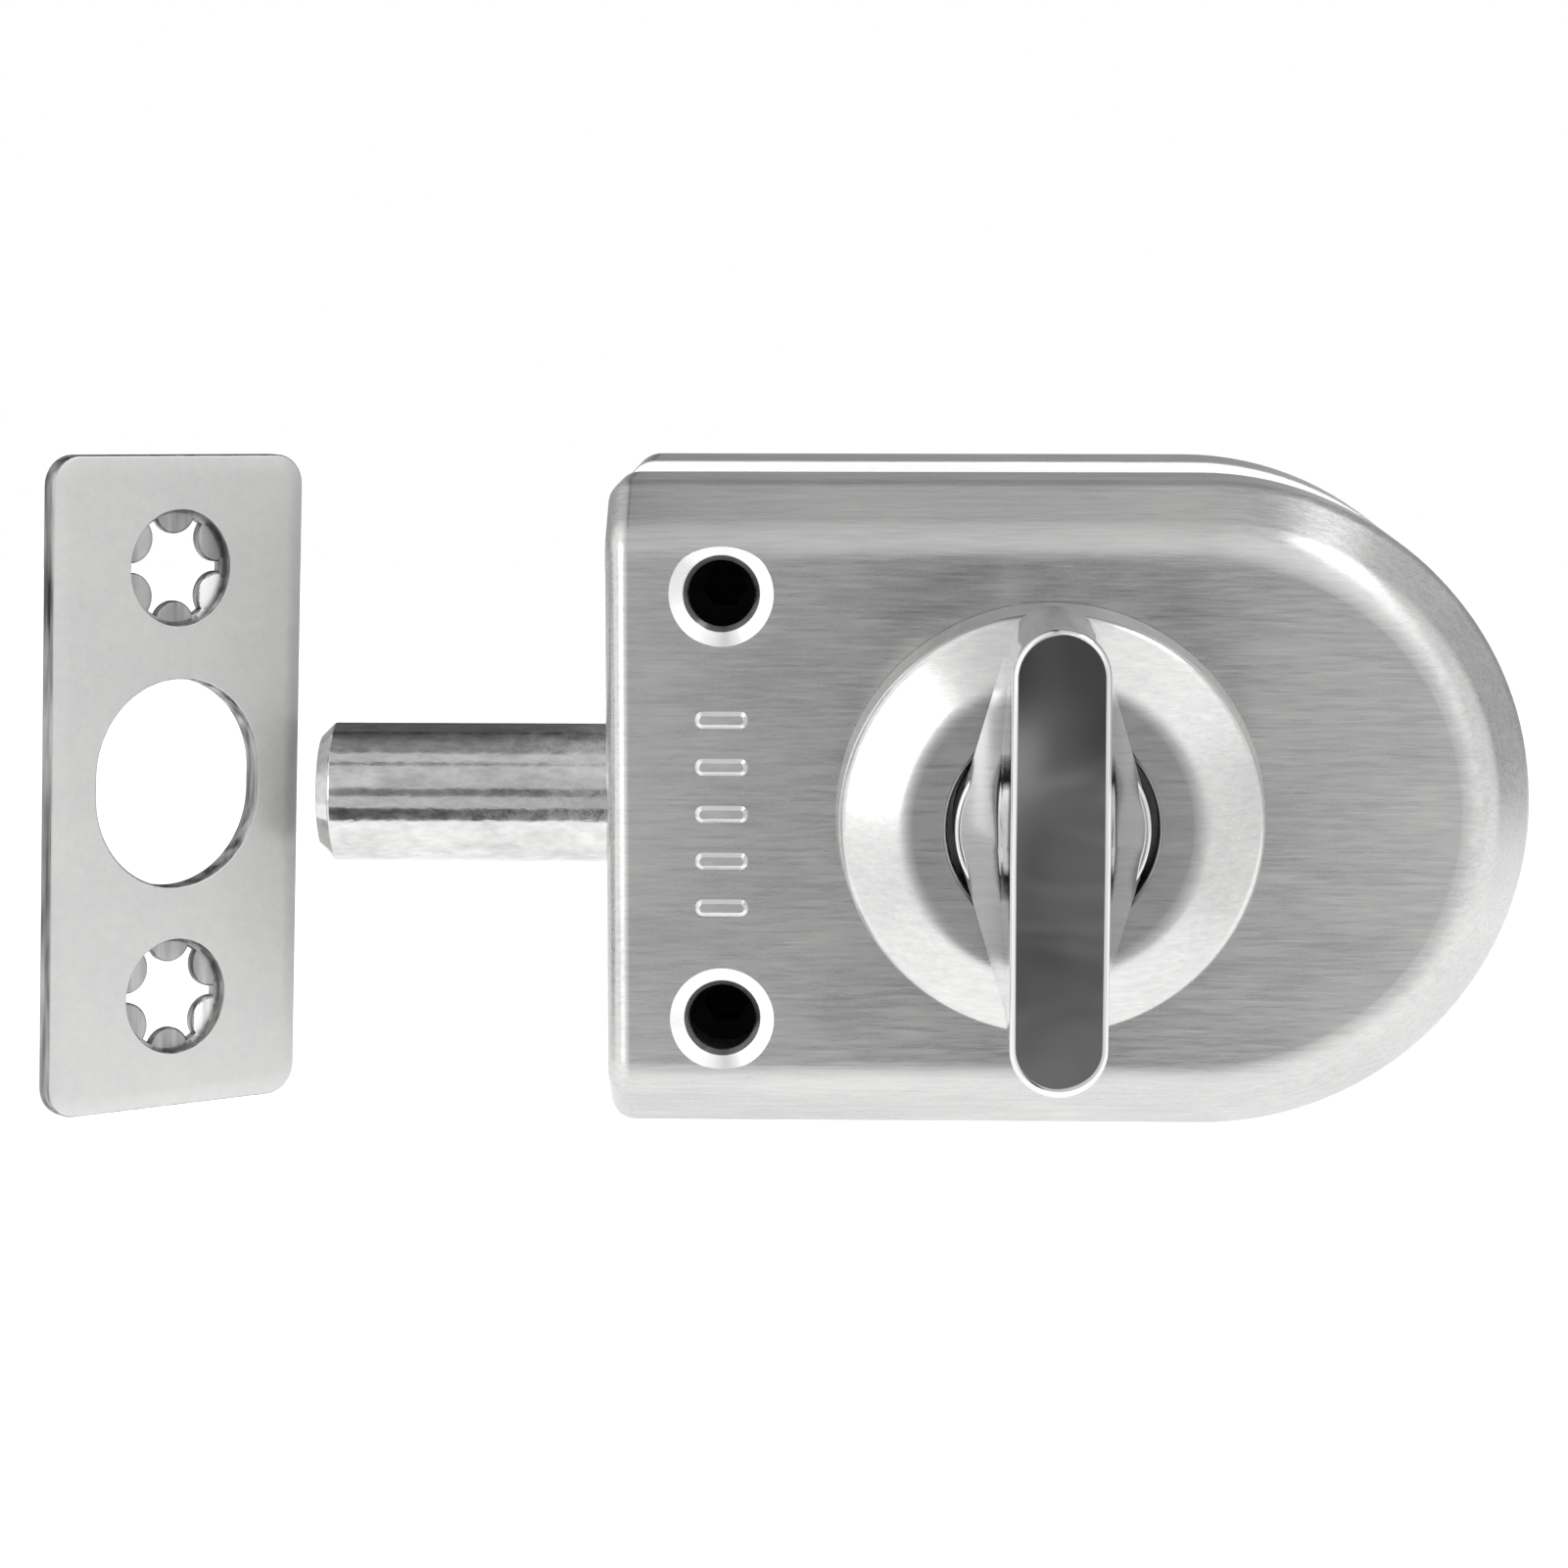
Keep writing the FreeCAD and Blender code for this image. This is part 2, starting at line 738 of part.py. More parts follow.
def make_knob():
    body = new_body("knob")
    skirt = front_sketch(body, "skirt_circle", knob_foot)
    draw_circle(skirt, 0, 0, cell("skirt_radius"))
    foot_depth = rosette_top + cell("end_play")
    pad(body, "skirt", skirt, foot_depth + cell("skirt_rise") - knob_foot)
    half_end = cell("grip_width") / 2
    edge_depth = knob_top - cell("knob_edge_height")
    rise = edge_depth - foot_depth
    half_top = half_end + cell("grip_bulge")
    levels = [
        ("foot", foot_depth, cell("grip_foot") / 2),
        ("waist", foot_depth + rise / 4, cell("grip_waist") / 2),
        ("neck", foot_depth + rise / 2, cell("grip_neck") / 2),
        ("edge", edge_depth, half_top),
    ]
    sections = []
    for name, depth, middle in levels:
        section = front_sketch(body, "grip_" + name, depth)
        draw_grip(section, half_end, middle)
        sections.append(section)
    loft(body, "grip", "AdditiveLoft", sections, False)
    edge_foot = front_sketch(body, "grip_edge_foot", edge_depth)
    draw_grip(edge_foot, half_end, half_top)
    edge_top = front_sketch(body, "grip_edge_top", knob_top)
    edge_width = cell("knob_edge_width")
    draw_grip(edge_top, half_end - edge_width, half_top - edge_width)
    loft(body, "grip_edge", "AdditiveLoft", [edge_foot, edge_top], True)
    bore = front_sketch(body, "knob_bore", knob_foot)
    draw_circle(bore, 0, 0, cell("spindle_radius") + cell("snug_gap"))
    pocket(body, "knob_bore_cut", bore, cell("spindle_in_knob") + cell("run_gap"), forwards=True)


# Spindle, bush, nut, washer, clip: what carries the thumbturn

def turn_to_crank(body):
    """The spindle's square and the crank are drawn with the arm straight up, then turned."""
    body.Placement = FreeCAD.Placement(
        FreeCAD.Vector(0, 0, 0), FreeCAD.Rotation(FreeCAD.Vector(0, 1, 0), CRANK_REST_DEGREES)
    )


def make_spindle():
    body = new_body("spindle")
    half_square = cell("square_width") / 2
    tail = front_sketch(body, "square", spindle_back)
    draw_box(tail, -half_square, half_square, -half_square, half_square)
    pad(body, "square_tail", tail, crank_front + cell("end_play") / 2 - spindle_back)
    shaft = front_sketch(body, "shaft_circle", crank_front + cell("end_play") / 2)
    draw_circle(shaft, 0, 0, cell("spindle_radius"))
    pad(body, "shaft", shaft, knob_foot + cell("spindle_in_knob") - crank_front - cell("end_play") / 2)
    groove = front_sketch(body, "groove", clip_front)
    draw_circle(groove, 0, 0, half_square - cell("snug_gap"))
    draw_circle(groove, 0, 0, cell("spindle_radius") + 1)
    pocket(body, "groove_cut", groove, cell("clip_thickness"))
    turn_to_crank(body)


def make_bush():
    body = new_body("spindle_bush")
    bore = cell("spindle_radius") + cell("run_gap")
    turned(
        body,
        "bush",
        [
            (bore, -bush_top),
            (cell("bush_radius"), -bush_top),
            (cell("bush_radius"), -face_inside),
            (cell("bush_flange_radius"), -face_inside),
            (cell("bush_flange_radius"), -bush_back),
            (bore, -bush_back),
        ],
    )
    nut = new_body("bush_nut")
    nut_back = face + cell("rosette_floor")
    nut_front = nut_back + cell("bush_nut_thickness")
    nut_hole = cell("bush_radius") + cell("snug_gap")
    turned(
        nut,
        "ring",
        [
            (nut_hole, -nut_front),
            (cell("bush_nut_radius"), -nut_front),
            (cell("bush_nut_radius"), -nut_back),
            (nut_hole, -nut_back),
        ],
    )
    slots = front_sketch(nut, "slots", nut_front)
    reach = cell("bush_nut_radius") + 1
    half_slot = cell("washer_rim") / 2
    draw_box(slots, nut_hole + 0.4, reach, -half_slot, half_slot)
    draw_box(slots, -reach, -(nut_hole + 0.4), -half_slot, half_slot)
    pocket(nut, "slot_cuts", slots, cell("washer_rim"))


def make_washer_and_clip():
    washer = new_body("wave_washer")
    inner = cell("spindle_radius") + cell("bush_hole_gap")
    outer = inner + cell("washer_rim")
    washer_back = bush_top + cell("run_gap")
    washer_front = washer_back + cell("washer_thickness")
    turned(
        washer,
        "washer",
        [(inner, -washer_front), (outer, -washer_front), (outer, -washer_back), (inner, -washer_back)],
    )
    clip = new_body("spindle_clip")
    inside = cell("square_width") / 2
    ring = front_sketch(clip, "clip_ring", clip_back)
    draw_circle(ring, 0, 0, cell("clip_radius"))
    draw_circle(ring, 0, 0, inside)
    pad(clip, "clip", ring, cell("clip_thickness"))
    mouth = front_sketch(clip, "clip_mouth", clip_front)
    half_mouth = inside / 2
    draw_box(mouth, -half_mouth, half_mouth, -(cell("clip_radius") + 1), 0)
    pocket(clip, "clip_mouth_cut", mouth, cell("clip_thickness") + 1)
    turn_to_crank(clip)


# Crank and drive pin: a quarter turn of the knob becomes the bolt's travel

def make_crank():
    body = new_body("crank")
    thickness = cell("crank_thickness")
    hub = front_sketch(body, "hub_circle", crank_back)
    draw_circle(hub, 0, 0, cell("hub_radius"))
    pad(body, "hub", hub, thickness)
    arm = front_sketch(body, "arm_box", crank_back)
    draw_box(arm, -cell("boss_radius"), cell("boss_radius"), 0, crank_radius)
    pad(body, "arm", arm, thickness)
    boss = front_sketch(body, "boss_circle", crank_back)
    draw_circle(boss, 0, crank_radius, cell("boss_radius"))
    pad(body, "boss", boss, thickness)
    holes = front_sketch(body, "crank_holes", crank_front)
    half_hole = cell("square_width") / 2 + cell("snug_gap")
    draw_box(holes, -half_hole, half_hole, -half_hole, half_hole)
    draw_circle(holes, 0, crank_radius, cell("pin_radius") + cell("snug_gap"))
    pocket(body, "crank_hole_cuts", holes, thickness + 1)
    turn_to_crank(body)
    length = crank_front - carriage_back + cell("pin_overrun")
    pin = cylinder("drive_pin", cell("pin_radius"), length, pin_x, -crank_front, pin_z)
    pin.Label = "drive_pin"
    nodes.append(pin)


# Carriage, bolt and rivets: slide together

def make_carriage():
    body = new_body("carriage")
    half = cell("carriage_half_width")
    tower = cell("tower_half_width")
    slot_half = cell("pin_radius") + cell("pin_slot_gap")
    slot_low = pin_z - slot_half
    slot_high = crank_radius + slot_half
    roof = slot_high + cell("tower_roof")
    corner = cell("carriage_corner")
    outline = front_sketch(body, "carriage_outline", carriage_back)
    draw_outline(
        outline,
        [
            (tail_left, -half),
            (carriage_right - corner, -half),
            (carriage_right, corner - half),
            (carriage_right, half - corner),
            (carriage_right - corner, half),
            (pin_x + tower, half),
            (pin_x + tower, roof),
            (pin_x - tower, roof),
            (pin_x - tower, half),
            (tail_left, half),
        ],
    )
    pad(body, "carriage_plate", outline, cell("carriage_thickness"))
    slots = front_sketch(body, "carriage_slots", carriage_front)
    draw_slot_along_x(slots, post_slot_left, post_slot_right, post_slot_half)
    draw_upright_slot(slots, pin_x, slot_low, slot_high, slot_half)
    for side in (-1, 1):
        draw_circle(slots, rivet_x, cell("rivet_pitch") / 2 * side, cell("rivet_radius") + cell("snug_gap"))
    pocket(body, "carriage_slot_cuts", slots, cell("carriage_thickness") + 1)


def make_bolt():
    body = new_body("bolt_rod")
    tip_x = left_x - cell("bolt_reach")
    radius = cell("bolt_radius")
    circle = new_sketch(body, "bolt_circle", "YZ_Plane", tip_x)
    draw_circle(circle, -bolt_axis, cell("bolt_lift"), radius)
    rod = pad(body, "bolt_bar", circle, tail_right - tip_x)
    tip = soften(
        body, "bolt_tip", "Chamfer", rod,
        lambda edge: lies_at(edge, "x", tip_x.value), cell("bolt_chamfer"),
    )
    shoulder_x = tip_x + cell("bolt_chamfer")
    soften(
        body, "bolt_tip_edges", "Fillet", tip,
        lambda edge: lies_at(edge, "x", tip_x.value) or lies_at(edge, "x", shoulder_x.value),
        cell("bolt_rounding"),
    )
    step = front_sketch(body, "tail_step", bolt_axis + radius + 1)
    step_left = -cell("bush_flange_radius") - cell("step_margin") - travel
    lift = cell("bolt_lift")
    draw_box(step, step_left, tail_right + 1, lift - radius - 1, lift + radius + 1)
    pocket(body, "tail_step_cut", step, bolt_axis + radius + 1 - carriage_back)
    holes = front_sketch(body, "rivet_holes", carriage_back)
    for side in (-1, 1):
        draw_circle(holes, rivet_x, cell("rivet_pitch") / 2 * side, cell("rivet_radius") + cell("snug_gap"))
    pocket(body, "rivet_hole_cuts", holes, cell("rivet_depth") + cell("run_gap"))
    length = cell("carriage_thickness") + cell("rivet_depth")
    rivets = []
    for name, side in (("lower", -1), ("upper", 1)):
        z = cell("rivet_pitch") / 2 * side
        rivets.append(cylinder("rivet_" + name, cell("rivet_radius"), length, rivet_x, -carriage_front, z))
    group("carriage_rivets", rivets)


def make_guide_post():
    head_back = carriage_front + cell("post_slot_gap")
    head_front = head_back + cell("post_head_thickness")
    head = cylinder("post_head", cell("post_head_radius"), cell("post_head_thickness"), post_x, -head_front, 0)
    bar = cylinder("post_bar", cell("post_radius"), head_back - rim, post_x, -head_back, 0)
    post = fuse("guide_post", [head, bar])
    post.Label = "guide_post"
    nodes.append(post)


# Guide block round the bolt, open at the front, screwed to the frame from behind

guide_screw_x = (guide_left + guide_right) / 2
guide_screw_rise = (cell("bolt_radius") + cell("run_gap") + cell("guide_half_height")) / 2
guide_screw_heights = [cell("bolt_lift") + guide_screw_rise, cell("bolt_lift") - guide_screw_rise]


def countersunk_screw(name, radius, head_radius, length, x, head_face, z, forwards):
    """A screw whose flat head lies at y = head_face, and which runs forwards or backwards."""
    depth = cell("screw_head_depth")
    if forwards:
        head = cone(name + "_head", radius, head_radius, depth, x, head_face - depth, z)
        shank = cylinder(name + "_shank", radius, length, x, head_face - length, z)
    else:
        head = cone(name + "_head", head_radius, radius, depth, x, head_face, z)
        shank = cylinder(name + "_shank", radius, length, x, head_face, z)
    return fuse(name, [head, shank])


def make_bolt_guide():
    body = new_body("bolt_guide")
    front = face_inside - cell("guide_front_gap")
    half = cell("guide_half_height")
    lift = cell("bolt_lift")
    block = front_sketch(body, "guide_box", frame_front)
    draw_box(block, guide_left, guide_right, lift - half, lift + half)
    pad(body, "guide_block", block, front - frame_front)
    bore = new_sketch(body, "guide_bore", "YZ_Plane", guide_left - 1)
    draw_circle(bore, -bolt_axis, lift, cell("bolt_radius") + cell("run_gap"))
    pocket(body, "guide_bore_cut", bore, cell("guide_length") + 2, forwards=True)
    holes = front_sketch(body, "guide_screw_holes", frame_front)
    for z in guide_screw_heights:
        draw_circle(holes, guide_screw_x, z, cell("guide_screw_radius") + cell("run_gap"))
    pocket(body, "guide_screw_cuts", holes, cell("guide_screw_length"), forwards=True)
    screws = []
    for name, z in zip(("upper", "lower"), guide_screw_heights):
        screws.append(
            countersunk_screw(
                "guide_screw_" + name, cell("guide_screw_radius"), cell("guide_screw_head"),
                cell("guide_screw_length"), guide_screw_x, -rim, z, True,
            )
        )
    group("guide_screws", screws)


# Frame: one bent U of steel, base plate, web at the glass edge, rear plate

def make_frame():
    body = new_body("frame")
    thickness = cell("frame_thickness")
    half = inner_half - cell("shell_gap")
    corner = inner_corner
    rear_back = cell("rear_gasket_thickness") + thickness
    base = front_sketch(body, "base_outline", rim)
    draw_case_outline(base, frame_left, half, corner)
    pad(body, "base_plate", base, thickness)
    web = front_sketch(body, "web_box", -rear_back)
    web_half = half - corner
    draw_box(web, frame_left, web_right, -web_half, web_half)
    pad(body, "web", web, rim + rear_back)
    rear = front_sketch(body, "rear_outline", -rear_back)
    draw_case_outline(rear, frame_left, half, corner)
    pad(body, "rear_plate", rear, thickness)
    holes = front_sketch(body, "base_holes", frame_front)
    for z in key_heights:
        draw_circle(holes, key_x, z, cell("set_screw_radius") + cell("run_gap") * 4)
    for x, z in front_posts:
        draw_circle(holes, x, z, screw_hole)
    for z in guide_screw_heights:
        draw_circle(holes, guide_screw_x, z, cell("guide_screw_radius") + cell("run_gap"))
    draw_circle(holes, post_x, 0, cell("post_radius") + cell("snug_gap"))
    pocket(body, "base_hole_cuts", holes, thickness)
    rear_holes = front_sketch(body, "rear_holes", -cell("rear_gasket_thickness"))
    for x, z in rear_posts:
        draw_circle(rear_holes, x, z, screw_hole)
    pocket(body, "rear_hole_cuts", rear_holes, thickness)
    seats = [("front", x, z, cell("cover_screw_head"), cell("cover_screw_radius")) for x, z in front_posts]
    seats += [
        ("front", guide_screw_x, z, cell("guide_screw_head"), cell("guide_screw_radius"))
        for z in guide_screw_heights
    ]
    seats += [("rear", x, z, cell("cover_screw_head"), cell("cover_screw_radius")) for x, z in rear_posts]
    for number, (which, x, z, head, shank) in enumerate(seats, start=1):
        seat = body.newObject("PartDesign::SubtractiveCone", f"screw_seat_{number}")
        depth = cell("screw_head_depth")
        if which == "front":
            bind(seat, "Radius1", shank + cell("run_gap"))
            bind(seat, "Radius2", head + cell("run_gap"))
            place(seat, x, -rim - depth, z)
        else:
            bind(seat, "Radius1", head + cell("run_gap"))
            bind(seat, "Radius2", shank + cell("run_gap"))
            place(seat, x, cell("rear_gasket_thickness"), z)
        bind(seat, "Height", depth)


def make_cover_screws():
    screws = []
    for number, (x, z) in enumerate(front_posts, start=1):
        screws.append(
            countersunk_screw(
                f"cover_screw_{number}", cell("cover_screw_radius"), cell("cover_screw_head"),
                cell("cover_screw_length"), x, -rim, z, True,
            )
        )
    group("cover_screws", screws)
    rear_screws = []
    for number, (x, z) in enumerate(rear_posts, start=1):
        rear_screws.append(
            countersunk_screw(
                f"rear_cover_screw_{number}", cell("cover_screw_radius"), cell("cover_screw_head"),
                cell("rear_screw_length"), x, cell("rear_gasket_thickness"), z, False,
            )
        )
    group("rear_cover_screws", rear_screws)


# Weld nuts and set screws, in line with the key holes

def make_clamp_screws():
    nuts = []
    screws = []
    for name, z in zip(("upper", "lower"), key_heights):
        nut_front = frame_front + cell("nut_height")
        outside = hexagon("nut_hexagon_" + name, cell("nut_radius"), cell("nut_height"), key_x, -nut_front, z)
        thread = cylinder(
            "nut_thread_" + name, cell("set_screw_radius") + cell("run_gap"),
            cell("nut_height") + 2, key_x, -nut_front - 1, z,
        )
        nuts.append(cut("weld_nut_" + name, outside, thread))
        screw_front = plate_front + cell("set_screw_length")
        bar = cylinder(
            "screw_bar_" + name, cell("set_screw_radius"), cell("set_screw_length"), key_x, -screw_front, z,
        )
        socket = hexagon(
            "screw_socket_" + name, cell("socket_radius"), cell("socket_depth") + 1,
            key_x, -screw_front - 1, z,
        )
        screws.append(cut("set_screw_" + name, bar, socket))
    group("weld_nuts", nuts)
    group("set_screws", screws)


def make_flat_piece(label, depth, thickness, drawing, *places):
    body = new_body(label)
    outline = front_sketch(body, label + "_outline", depth)
    drawing(outline, *places)
    return pad(body, label + "_sheet", outline, thickness)


def make_jaw_pieces():
    thickness = cell("plate_thickness")
    make_flat_piece(
        "pressure_plate", pad_front, thickness, draw_box, plate_left, plate_right, -plate_half, plate_half
    )
    make_flat_piece(
        "pressure_pad", cell("glass_gap"), pad_front - cell("glass_gap"), draw_box,
        plate_left, plate_right, -plate_half, plate_half,
    )
    make_flat_piece(
        "case_gasket", cell("glass_gap"), cell("case_gasket_thickness"), draw_right_part,
        plate_right + cell("side_gap"), half_height - cell("case_gasket_inset"),
    )
    make_flat_piece(
        "edge_gasket", 0, cell("glass_gap"), draw_box,
        web_right, web_right + cell("edge_gasket_thickness"), -plate_half, plate_half,
    )


# Rear gasket: a sheet that covers the rear cover's whole rim, notched for the frame's web

def make_rear_gasket():
    body = new_body("rear_gasket")
    inset = cell("gasket_inset")
    thickness = cell("rear_gasket_thickness")
    outline = front_sketch(body, "rear_gasket_outline", -thickness)
    draw_case_outline(outline, left_x + inset, half_height - inset, cell("corner_radius") - inset)
    pad(body, "rear_gasket_sheet", outline, thickness)
    notch = front_sketch(body, "web_notch", 0)
    notch_right = web_right + cell("edge_gasket_thickness") + cell("shell_gap")
    notch_half = inner_half - cell("shell_gap") - inner_corner + cell("side_gap")
    draw_box(notch, left_x - 1, notch_right, -notch_half, notch_half)
    pocket(body, "web_notch_cut", notch, thickness)


# Rear cover: plain shallow shell, held from its inner side

def make_rear_cover():
    body = new_body("rear_cover")
    corner = cell("corner_radius")
    rim_y = cell("rear_gasket_thickness")
    back_y = rim_y + cell("rear_depth")
    inside_y = back_y - wall
    outline = front_sketch(body, "rear_cover_outline", -back_y)
    draw_case_outline(outline, left_x, half_height, corner)
    shell = pad(body, "rear_cover_block", outline, cell("rear_depth"))
    soften(
        body, "rear_cover_edge", "Fillet", shell,
        lambda edge: lies_at(edge, "y", back_y.value), cell("rear_rounding"),
    )
    hollow = front_sketch(body, "rear_hollow", -rim_y)
    draw_case_outline(hollow, left_x + wall, inner_half, inner_corner)
    pocket(body, "rear_hollow_cut", hollow, inside_y - rim_y)
    posts = front_sketch(body, "rear_post_circles", -(inside_y + wall / 2))
    for x, z in rear_posts:
        draw_circle(posts, x, z, post_outer)
    post_front_y = rim_y + cell("frame_thickness")
    pad(body, "rear_posts", posts, inside_y + wall / 2 - post_front_y)
    holes = front_sketch(body, "rear_post_holes", -post_front_y)
    for x, z in rear_posts:
        draw_circle(holes, x, z, screw_hole)
    pocket(body, "rear_post_cuts", holes, cell("rear_screw_length") - cell("frame_thickness") + cell("run_gap"))


# Strike plate: flat plate with the bolt's hole and two petalled screw holes

def make_strike_plate():
    plate = doc.addObject("PartDesign::Body", "body_strike_blank")
    plate.Label = "strike_blank"
    outline = front_sketch(plate, "strike_outline", -cell("strike_thickness"))
    draw_round_box(outline, cell("strike_width") / 2, cell("strike_height") / 2, cell("strike_corner"))
    sheet_pad = pad(plate, "strike_sheet", outline, cell("strike_thickness"))
    soften(
        plate, "strike_edge", "Fillet", sheet_pad,
        lambda edge: lies_at(edge, "y", 0.0), cell("strike_rounding"),
    )
    slot = front_sketch(plate, "strike_slot", 0)
    slot_half = cell("strike_slot_height") / 2
    draw_upright_slot(slot, 0, -slot_half, slot_half, cell("strike_slot_width") / 2)
    pocket(plate, "strike_slot_cut", slot, cell("strike_thickness") + 1)
    tools = []
    through = cell("strike_thickness") + 2
    for name, side in (("upper", 1), ("lower", -1)):
        z = cell("strike_screw_pitch") / 2 * side
        tools.append(
            cylinder(
                "recess_" + name, cell("strike_screw_radius"), cell("strike_recess") + 1, 0, -1, z,
            )
        )
        disc = cylinder(
            "star_disc_" + name, cell("strike_screw_radius") - cell("star_gap"), through, 0, -1, z,
        )
        petals = []
        for number in range(PETALS):
            angle = math.radians(FIRST_PETAL_DEGREES + number * 360 / PETALS)
            x = cell("strike_screw_radius") * round(math.cos(angle), 6)
            rise = cell("strike_screw_radius") * round(math.sin(angle), 6)
            petals.append(
                cylinder(f"petal_{name}_{number}", cell("petal_radius"), through, x, -1, z + rise)
            )
        tools.append(cut("star_" + name, disc, fuse("petals_" + name, petals)))
    strike = cut("strike_plate", plate, fuse("strike_tools", tools))
    strike.Label = "strike_plate"
    turn = FreeCAD.Rotation(FreeCAD.Vector(0, 0, 1), sheet.strike_turn)
    lean = FreeCAD.Rotation(FreeCAD.Vector(0, 1, 0), sheet.strike_lean)
    strike.Placement = FreeCAD.Placement(FreeCAD.Vector(0, 0, 0), turn * lean)
    bind(strike, "Placement.Base.x", -cell("strike_distance"))
    bind(strike, "Placement.Base.y", -cell("strike_depth"))
    bind(strike, "Placement.Base.z", cell("strike_lift"))
    nodes.append(strike)


make_front_cover()
make_rosette()
make_knob()
make_spindle()
make_bush()
make_washer_and_clip()
make_crank()
make_carriage()
make_bolt()
make_guide_post()
make_bolt_guide()
make_frame()
make_cover_screws()
make_clamp_screws()
make_jaw_pieces()
make_rear_gasket()
make_rear_cover()
make_strike_plate()

doc.recompute()

for item in doc.Objects:
    if "Invalid" in item.State or "Error" in item.State:
        raise RuntimeError(f"{item.Label} failed: {item.State}")

os.makedirs("parts", exist_ok=True)
for node in nodes:
    shape = node.Shape
    if shape.isNull() or not shape.isValid() or shape.Volume <= 0:
        raise RuntimeError(f"{node.Label} has no valid solid")
    shape.exportStep(os.path.join("parts", node.Label + ".step"))
    box = shape.BoundBox
    print(
        f"{node.Label}: {len(shape.Solids)} solid, {shape.Volume:.1f} mm3,"
        f" X {box.XMin:.2f} to {box.XMax:.2f}, Y {box.YMin:.2f} to {box.YMax:.2f},"
        f" Z {box.ZMin:.2f} to {box.ZMax:.2f}"
    )
print(f"bolt travel {travel.value:.3f} mm, crank radius {crank_radius.value:.3f} mm")
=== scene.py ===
# %% [markdown]
# # A glass door lock, dressed for its picture
# The lock clamps on the edge of a frameless glass door. Its solids come from the CAD model and are
# already in the right place, in metres. This script gives them their finishes, and builds the pieces
# that the eye rests on again with softer edges: the front cover, the rosette, the thumbturn and the
# strike plate. We load the CAD model first.

import math

import bmesh
import bpy
from mathutils import Matrix, Vector


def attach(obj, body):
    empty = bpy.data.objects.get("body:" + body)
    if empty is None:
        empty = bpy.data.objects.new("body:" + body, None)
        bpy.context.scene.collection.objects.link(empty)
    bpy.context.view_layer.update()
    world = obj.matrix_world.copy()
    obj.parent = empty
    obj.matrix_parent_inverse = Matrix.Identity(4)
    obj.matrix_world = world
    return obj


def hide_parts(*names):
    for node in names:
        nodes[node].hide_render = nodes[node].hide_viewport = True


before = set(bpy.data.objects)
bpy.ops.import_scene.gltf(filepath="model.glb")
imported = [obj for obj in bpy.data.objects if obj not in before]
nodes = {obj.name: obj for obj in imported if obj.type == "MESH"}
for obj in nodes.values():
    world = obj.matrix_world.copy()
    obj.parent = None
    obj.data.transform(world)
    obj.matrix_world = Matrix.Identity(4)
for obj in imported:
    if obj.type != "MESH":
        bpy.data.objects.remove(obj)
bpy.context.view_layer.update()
scene = bpy.context.scene
MM = 0.001

# %% [markdown]
# ## The camera
# The photograph was taken from close by, a little above the lock and a little to its left. A camera
# fitted to the outlines in it stands 0.35 m away. Blender's camera looks down its own -Z, so a quarter
# turn about X makes it look along +Y, less the small angle by which it looks down. Places are in metres
# and angles in radians.

# %% Camera
PICTURE_PIXELS = 1601
FOCAL_PIXELS = 4358.35
SENSOR_WIDTH = 36.0
CAMERA_PLACE = (-0.010448, -0.34722, 0.047688)
LOOKS_DOWN = 0.1406
LOOKS_LEFT = 0.0303


def placed(name, data):
    item = bpy.data.objects.new(name, data)
    scene.collection.objects.link(item)
    return item


camera_data = bpy.data.cameras.new("camera")
camera_data.sensor_width = SENSOR_WIDTH
camera_data.lens = SENSOR_WIDTH * FOCAL_PIXELS / PICTURE_PIXELS
camera_data.clip_start = 0.01
camera = placed("camera", camera_data)
camera.location = CAMERA_PLACE
camera.rotation_euler = (math.radians(90) - LOOKS_DOWN, 0, LOOKS_LEFT)
scene.camera = camera
print("lens", round(camera_data.lens, 1), "mm")

# %% [markdown]
# ## Small helpers
# A node tree is easier to read when one line adds a node and one line joins two sockets. An operand of
# a sum or product may be a number or an output.

# %% Helpers for node trees


def add_node(tree, kind, **settings):
    node = tree.nodes.new(kind)
    for name, value in settings.items():
        setattr(node, name, value)
    return node


def join(tree, source, target):
    tree.links.new(source, target)


def set_inputs(node, values):
    for title, value in values.items():
        node.inputs[title].default_value = value


def math_node(tree, operation, first, second=None):
    node = add_node(tree, "ShaderNodeMath", operation=operation)
    for socket, value in zip(node.inputs, (first, second)):
        if value is None:
            continue
        if isinstance(value, (int, float)):
            socket.default_value = value
        else:
            join(tree, value, socket)
    return node.outputs[0]


def product(tree, *factors):
    result = factors[0]
    for factor in factors[1:]:
        result = math_node(tree, "MULTIPLY", result, factor)
    return result


def one_minus(tree, value):
    return math_node(tree, "SUBTRACT", 1.0, value)


def vector_node(tree, operation, vector, constant):
    """A Vector Math node between an output and a constant vector. Returns its outputs."""
    node = add_node(tree, "ShaderNodeVectorMath", operation=operation)
    join(tree, vector, node.inputs[0])
    node.inputs[1].default_value = constant
    return node.outputs


def graded(tree, value, low, high, from_low, from_high, shape="SMOOTHSTEP"):
    """Maps a value from one range to another, smoothly unless another shape is given."""
    node = add_node(tree, "ShaderNodeMapRange", interpolation_type=shape)
    join(tree, value, node.inputs["Value"])
    set_inputs(node, {"From Min": from_low, "From Max": from_high, "To Min": low, "To Max": high})
    return node.outputs["Result"]


# %% [markdown]
# ## Light
# Polished steel shows its surroundings more than itself, so the light decides the picture. The lock
# stands in a white tent with one opening, through which the camera looks: that dark opening is what the
# flat top of the thumbturn mirrors, patchy in its lower part. The tent is brightest at the left and round
# a window high on the right, and fades behind the lock. It is the world's background: each call of graded
# gives two brightnesses, and the two directions between which the light goes from one to the other. What
# the camera itself sees of the tent is plain white.

